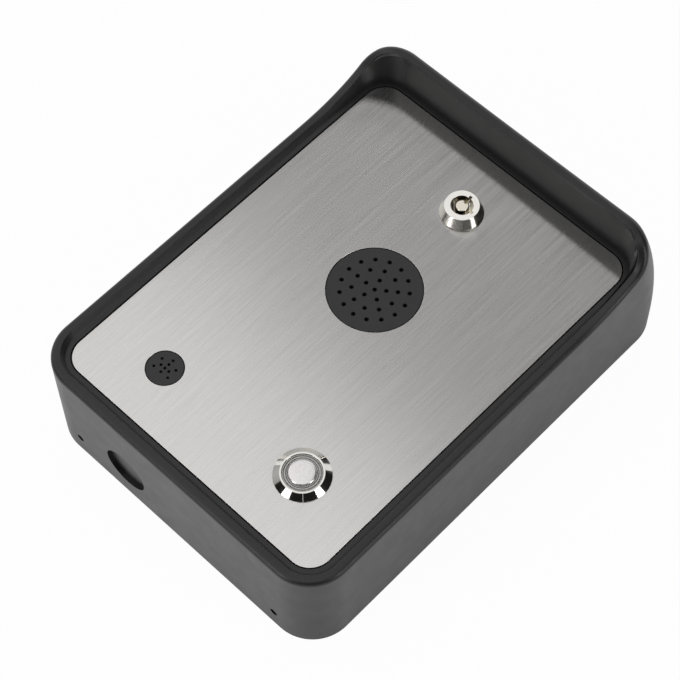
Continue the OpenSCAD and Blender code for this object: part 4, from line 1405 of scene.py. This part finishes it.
def floor_material():
    """White paper that the picture and shiny pieces see near white, and that keeps the soft shadow.

    Shiny pieces see a painted shadow on it: darker close to the housing and towards its right side.
    """
    material = bpy.data.materials.new("white_paper")
    material.use_nodes = True
    tree = material.node_tree
    paper = tree.nodes["Principled BSDF"]
    paper.inputs["Base Color"].default_value = (0.9, 0.9, 0.9, 1)
    paper.inputs["Roughness"].default_value = 0.9
    glow = add_node(tree, "ShaderNodeEmission", {"Strength": 1})
    ray = add_node(tree, "ShaderNodeLightPath").outputs
    spot = add_node(tree, "ShaderNodeTexCoord").outputs["Object"]
    place = add_node(tree, "ShaderNodeSeparateXYZ", {"Vector": spot}).outputs
    past_x, past_y = (
        combine(tree, "SUBTRACT", combine(tree, "ABSOLUTE", place[axis], 0.0), side)
        for axis, side in (("X", HOUSING_HIGH.x), ("Y", HOUSING_HIGH.y))
    )
    # Painted shadow for glossy rays: the paper shows darker close to the housing and towards its right side
    near = ramp(tree, combine(tree, "MAXIMUM", past_x, past_y), 0, 18 * MM, 0.7, 1)
    right = ramp(tree, place["X"], 0, 75 * MM, 1, 0.68)
    mirrored_with_painted_shadow = combine(tree, "MULTIPLY", ray["Is Glossy Ray"], combine(tree, "MULTIPLY", near, right))
    seen = combine(tree, "MAXIMUM", ray["Is Camera Ray"], mirrored_with_painted_shadow)
    seen = combine(tree, "MAXIMUM", seen, ray["Is Transmission Ray"])
    mix = add_node(
        tree, "ShaderNodeMixShader",
        {0: combine(tree, "MULTIPLY", seen, FLOOR_SHARE), 1: paper.outputs[0], 2: glow.outputs[0]},
    )
    connect(tree, tree.nodes["Material Output"].inputs["Surface"], mix.outputs[0])
    return material


def studio_world():
    """The studio that shiny pieces mirror, while the picture itself sees plain white.

    A bright ceiling ends past the object and goes on as a narrow band. Below it stand a bright wall, a
    grey wall and a thin bright slit, and the rest glows dimly near the floor.
    """
    world = bpy.data.worlds.new("studio")
    bpy.context.scene.world = world
    world.use_nodes = True
    tree = world.node_tree
    direction = add_node(tree, "ShaderNodeTexCoord").outputs["Generated"]
    right, ahead, up = (1, 0, 0), (0, 1, 0), (0, 0, 1)
    slit_side = (0.715, 0.7, 0)

    def step(vector, start, end, low=0.0, high=1.0):
        """A soft step from low to high along a direction."""
        dot = add_node(tree, "ShaderNodeVectorMath", {0: direction, 1: vector}, operation="DOT_PRODUCT")
        return ramp(tree, dot.outputs["Value"], start, end, low, high, interpolation_type="SMOOTHSTEP")

    def gather(operation, first, *others):
        for other in others:
            first = combine(tree, operation, first, other)
        return first

    broad = step(ahead, 0.3, 0.37, 1, 0)
    band = gather("MULTIPLY", step(right, -0.54, -0.46), step(right, -0.235, -0.165, 1, 0))
    over = step((-0.45, 0.25, 0.857), 0.5, 0.68)
    ceiling = gather("MULTIPLY", gather("MAXIMUM", broad, band), over)
    bright = gather(
        "MULTIPLY", step((-0.974, 0.225, 0), -0.01, 0.02), step(ahead, 0, 0.02, 0.0, BRIGHT_WALL),
        step(up, 0.48, 0.6, 1, 0),
    )
    grey = gather(
        "MULTIPLY", step((-0.643, 0.766, 0), 0, 0.04), step((-1, 0, 0), 0, 0.1, 0.0, GREY_WALL),
        step(up, 0.5, 0.62, 1, 0),
    )
    slit = gather(
        "MULTIPLY", step(slit_side, -0.022, -0.01), step(slit_side, 0.0, 0.012, 1, 0),
        step((0, -1, 0), 0.1, 0.3, 0.0, BRIGHT_SLIT),
    )
    glow = step(up, 0.16, 0.3, LOW_GLOW, HIGH_GLOW)
    walls = gather("MAXIMUM", bright, grey, slit, glow)
    level = add_node(tree, "ShaderNodeMix", {"Factor": ceiling, "A": walls, "B": CEILING})
    camera = add_node(tree, "ShaderNodeLightPath").outputs["Is Camera Ray"]
    shown = add_node(tree, "ShaderNodeMix", {"Factor": camera, "A": level.outputs["Result"], "B": 1.0})
    sky = tree.nodes["Background"]
    sky.inputs["Color"].default_value = (1, 1, 1, 1)
    connect(tree, sky.inputs["Strength"], shown.outputs["Result"])


class INTERCOM_OT_stage(bpy.types.Operator):
    """Lay the white floor and set the camera, the softboxes and the studio's light"""

    bl_idname = "intercom.stage"
    bl_label = "Stage"

    def execute(self, context):
        s = context.scene.intercom_studio
        reach, drop = 4.0, 0.1 * MM
        corners = [
            (-reach, -reach, -drop), (reach, -reach, -drop), (reach, reach, -drop), (-reach, reach, -drop)
        ]
        floor = mesh_object("white_floor", corners, [(0, 1, 2, 3)])
        floor.data.materials.append(floor_material())
        studio_world()
        back = self.camera(context.scene, s)
        side = math.atan2(back.y, back.x)
        for number, sign in enumerate((-1, 1)):
            self.softbox(context.scene, s, f"softbox_{number + 1}", side + sign * s.softbox_turn)
        context.scene.view_settings.view_transform = "Standard"
        return {"FINISHED"}

    def camera(self, scene, s):
        """Sets the camera and returns the direction from the picture to it."""
        right, up = Vector(s.right).normalized(), Vector(s.up).normalized()
        back = right.cross(up).normalized()
        up = back.cross(right)
        camera = bpy.data.objects.new("camera", bpy.data.cameras.new("camera"))
        turn = Matrix((right, up, back)).transposed().to_4x4()
        camera.matrix_world = Matrix.Translation(s.camera) @ turn
        camera.data.lens = s.lens
        camera.data.sensor_width = 36
        camera.data.clip_start = 0.01
        scene.collection.objects.link(camera)
        scene.camera = camera
        return back

    def softbox(self, scene, s, name, angle):
        """A lamp that faces the intercom from an angle about the vertical."""
        lamp = bpy.data.lights.new(name, "AREA")
        lamp.shape = "RECTANGLE"
        lamp.size = s.softbox
        lamp.size_y = s.softbox * SOFTBOX_SHAPE
        lamp.energy = s.softbox_power
        box = bpy.data.objects.new(name, lamp)
        level = math.cos(s.softbox_tilt)
        away = Vector((math.cos(angle) * level, math.sin(angle) * level, math.sin(s.softbox_tilt)))
        box.location = away * s.softbox_away + Vector((0, 0, FRONT_Z))
        box.rotation_euler = away.to_track_quat("Z", "Y").to_euler()
        scene.collection.objects.link(box)


OPERATORS = (
    INTERCOM_OT_housing,
    INTERCOM_OT_face_plate,
    INTERCOM_OT_speaker,
    INTERCOM_OT_microphone,
    INTERCOM_OT_call_button,
    INTERCOM_OT_lock,
    INTERCOM_OT_board,
    INTERCOM_OT_stage,
)


class INTERCOM_PT_pieces(bpy.types.Panel):
    """The intercom's pieces, each with the button that builds it"""

    bl_idname = "INTERCOM_PT_pieces"
    bl_label = "Emergency Intercom"
    bl_space_type = "VIEW_3D"
    bl_region_type = "UI"
    bl_category = "Intercom"

    def draw(self, context):
        column = self.layout.column(align=True)
        for operator in OPERATORS:
            column.operator(operator.bl_idname)


def register():
    for group in GROUPS.values():
        bpy.utils.register_class(group)
    for name, group in GROUPS.items():
        setattr(bpy.types.Scene, name, PointerProperty(type=group))
    for operator in OPERATORS:
        bpy.utils.register_class(operator)
    bpy.utils.register_class(INTERCOM_PT_pieces)


def unregister():
    bpy.utils.unregister_class(INTERCOM_PT_pieces)
    for operator in reversed(OPERATORS):
        bpy.utils.unregister_class(operator)
    for name in GROUPS:
        delattr(bpy.types.Scene, name)
    for group in reversed(GROUPS.values()):
        bpy.utils.unregister_class(group)


def main():
    register()
    bpy.ops.intercom.housing()
    bpy.ops.intercom.face_plate()
    bpy.ops.intercom.speaker()
    bpy.ops.intercom.microphone()
    bpy.ops.intercom.call_button()
    bpy.ops.intercom.lock()
    bpy.ops.intercom.board()
    bpy.ops.intercom.stage()


if __name__ == "__main__":
    main()
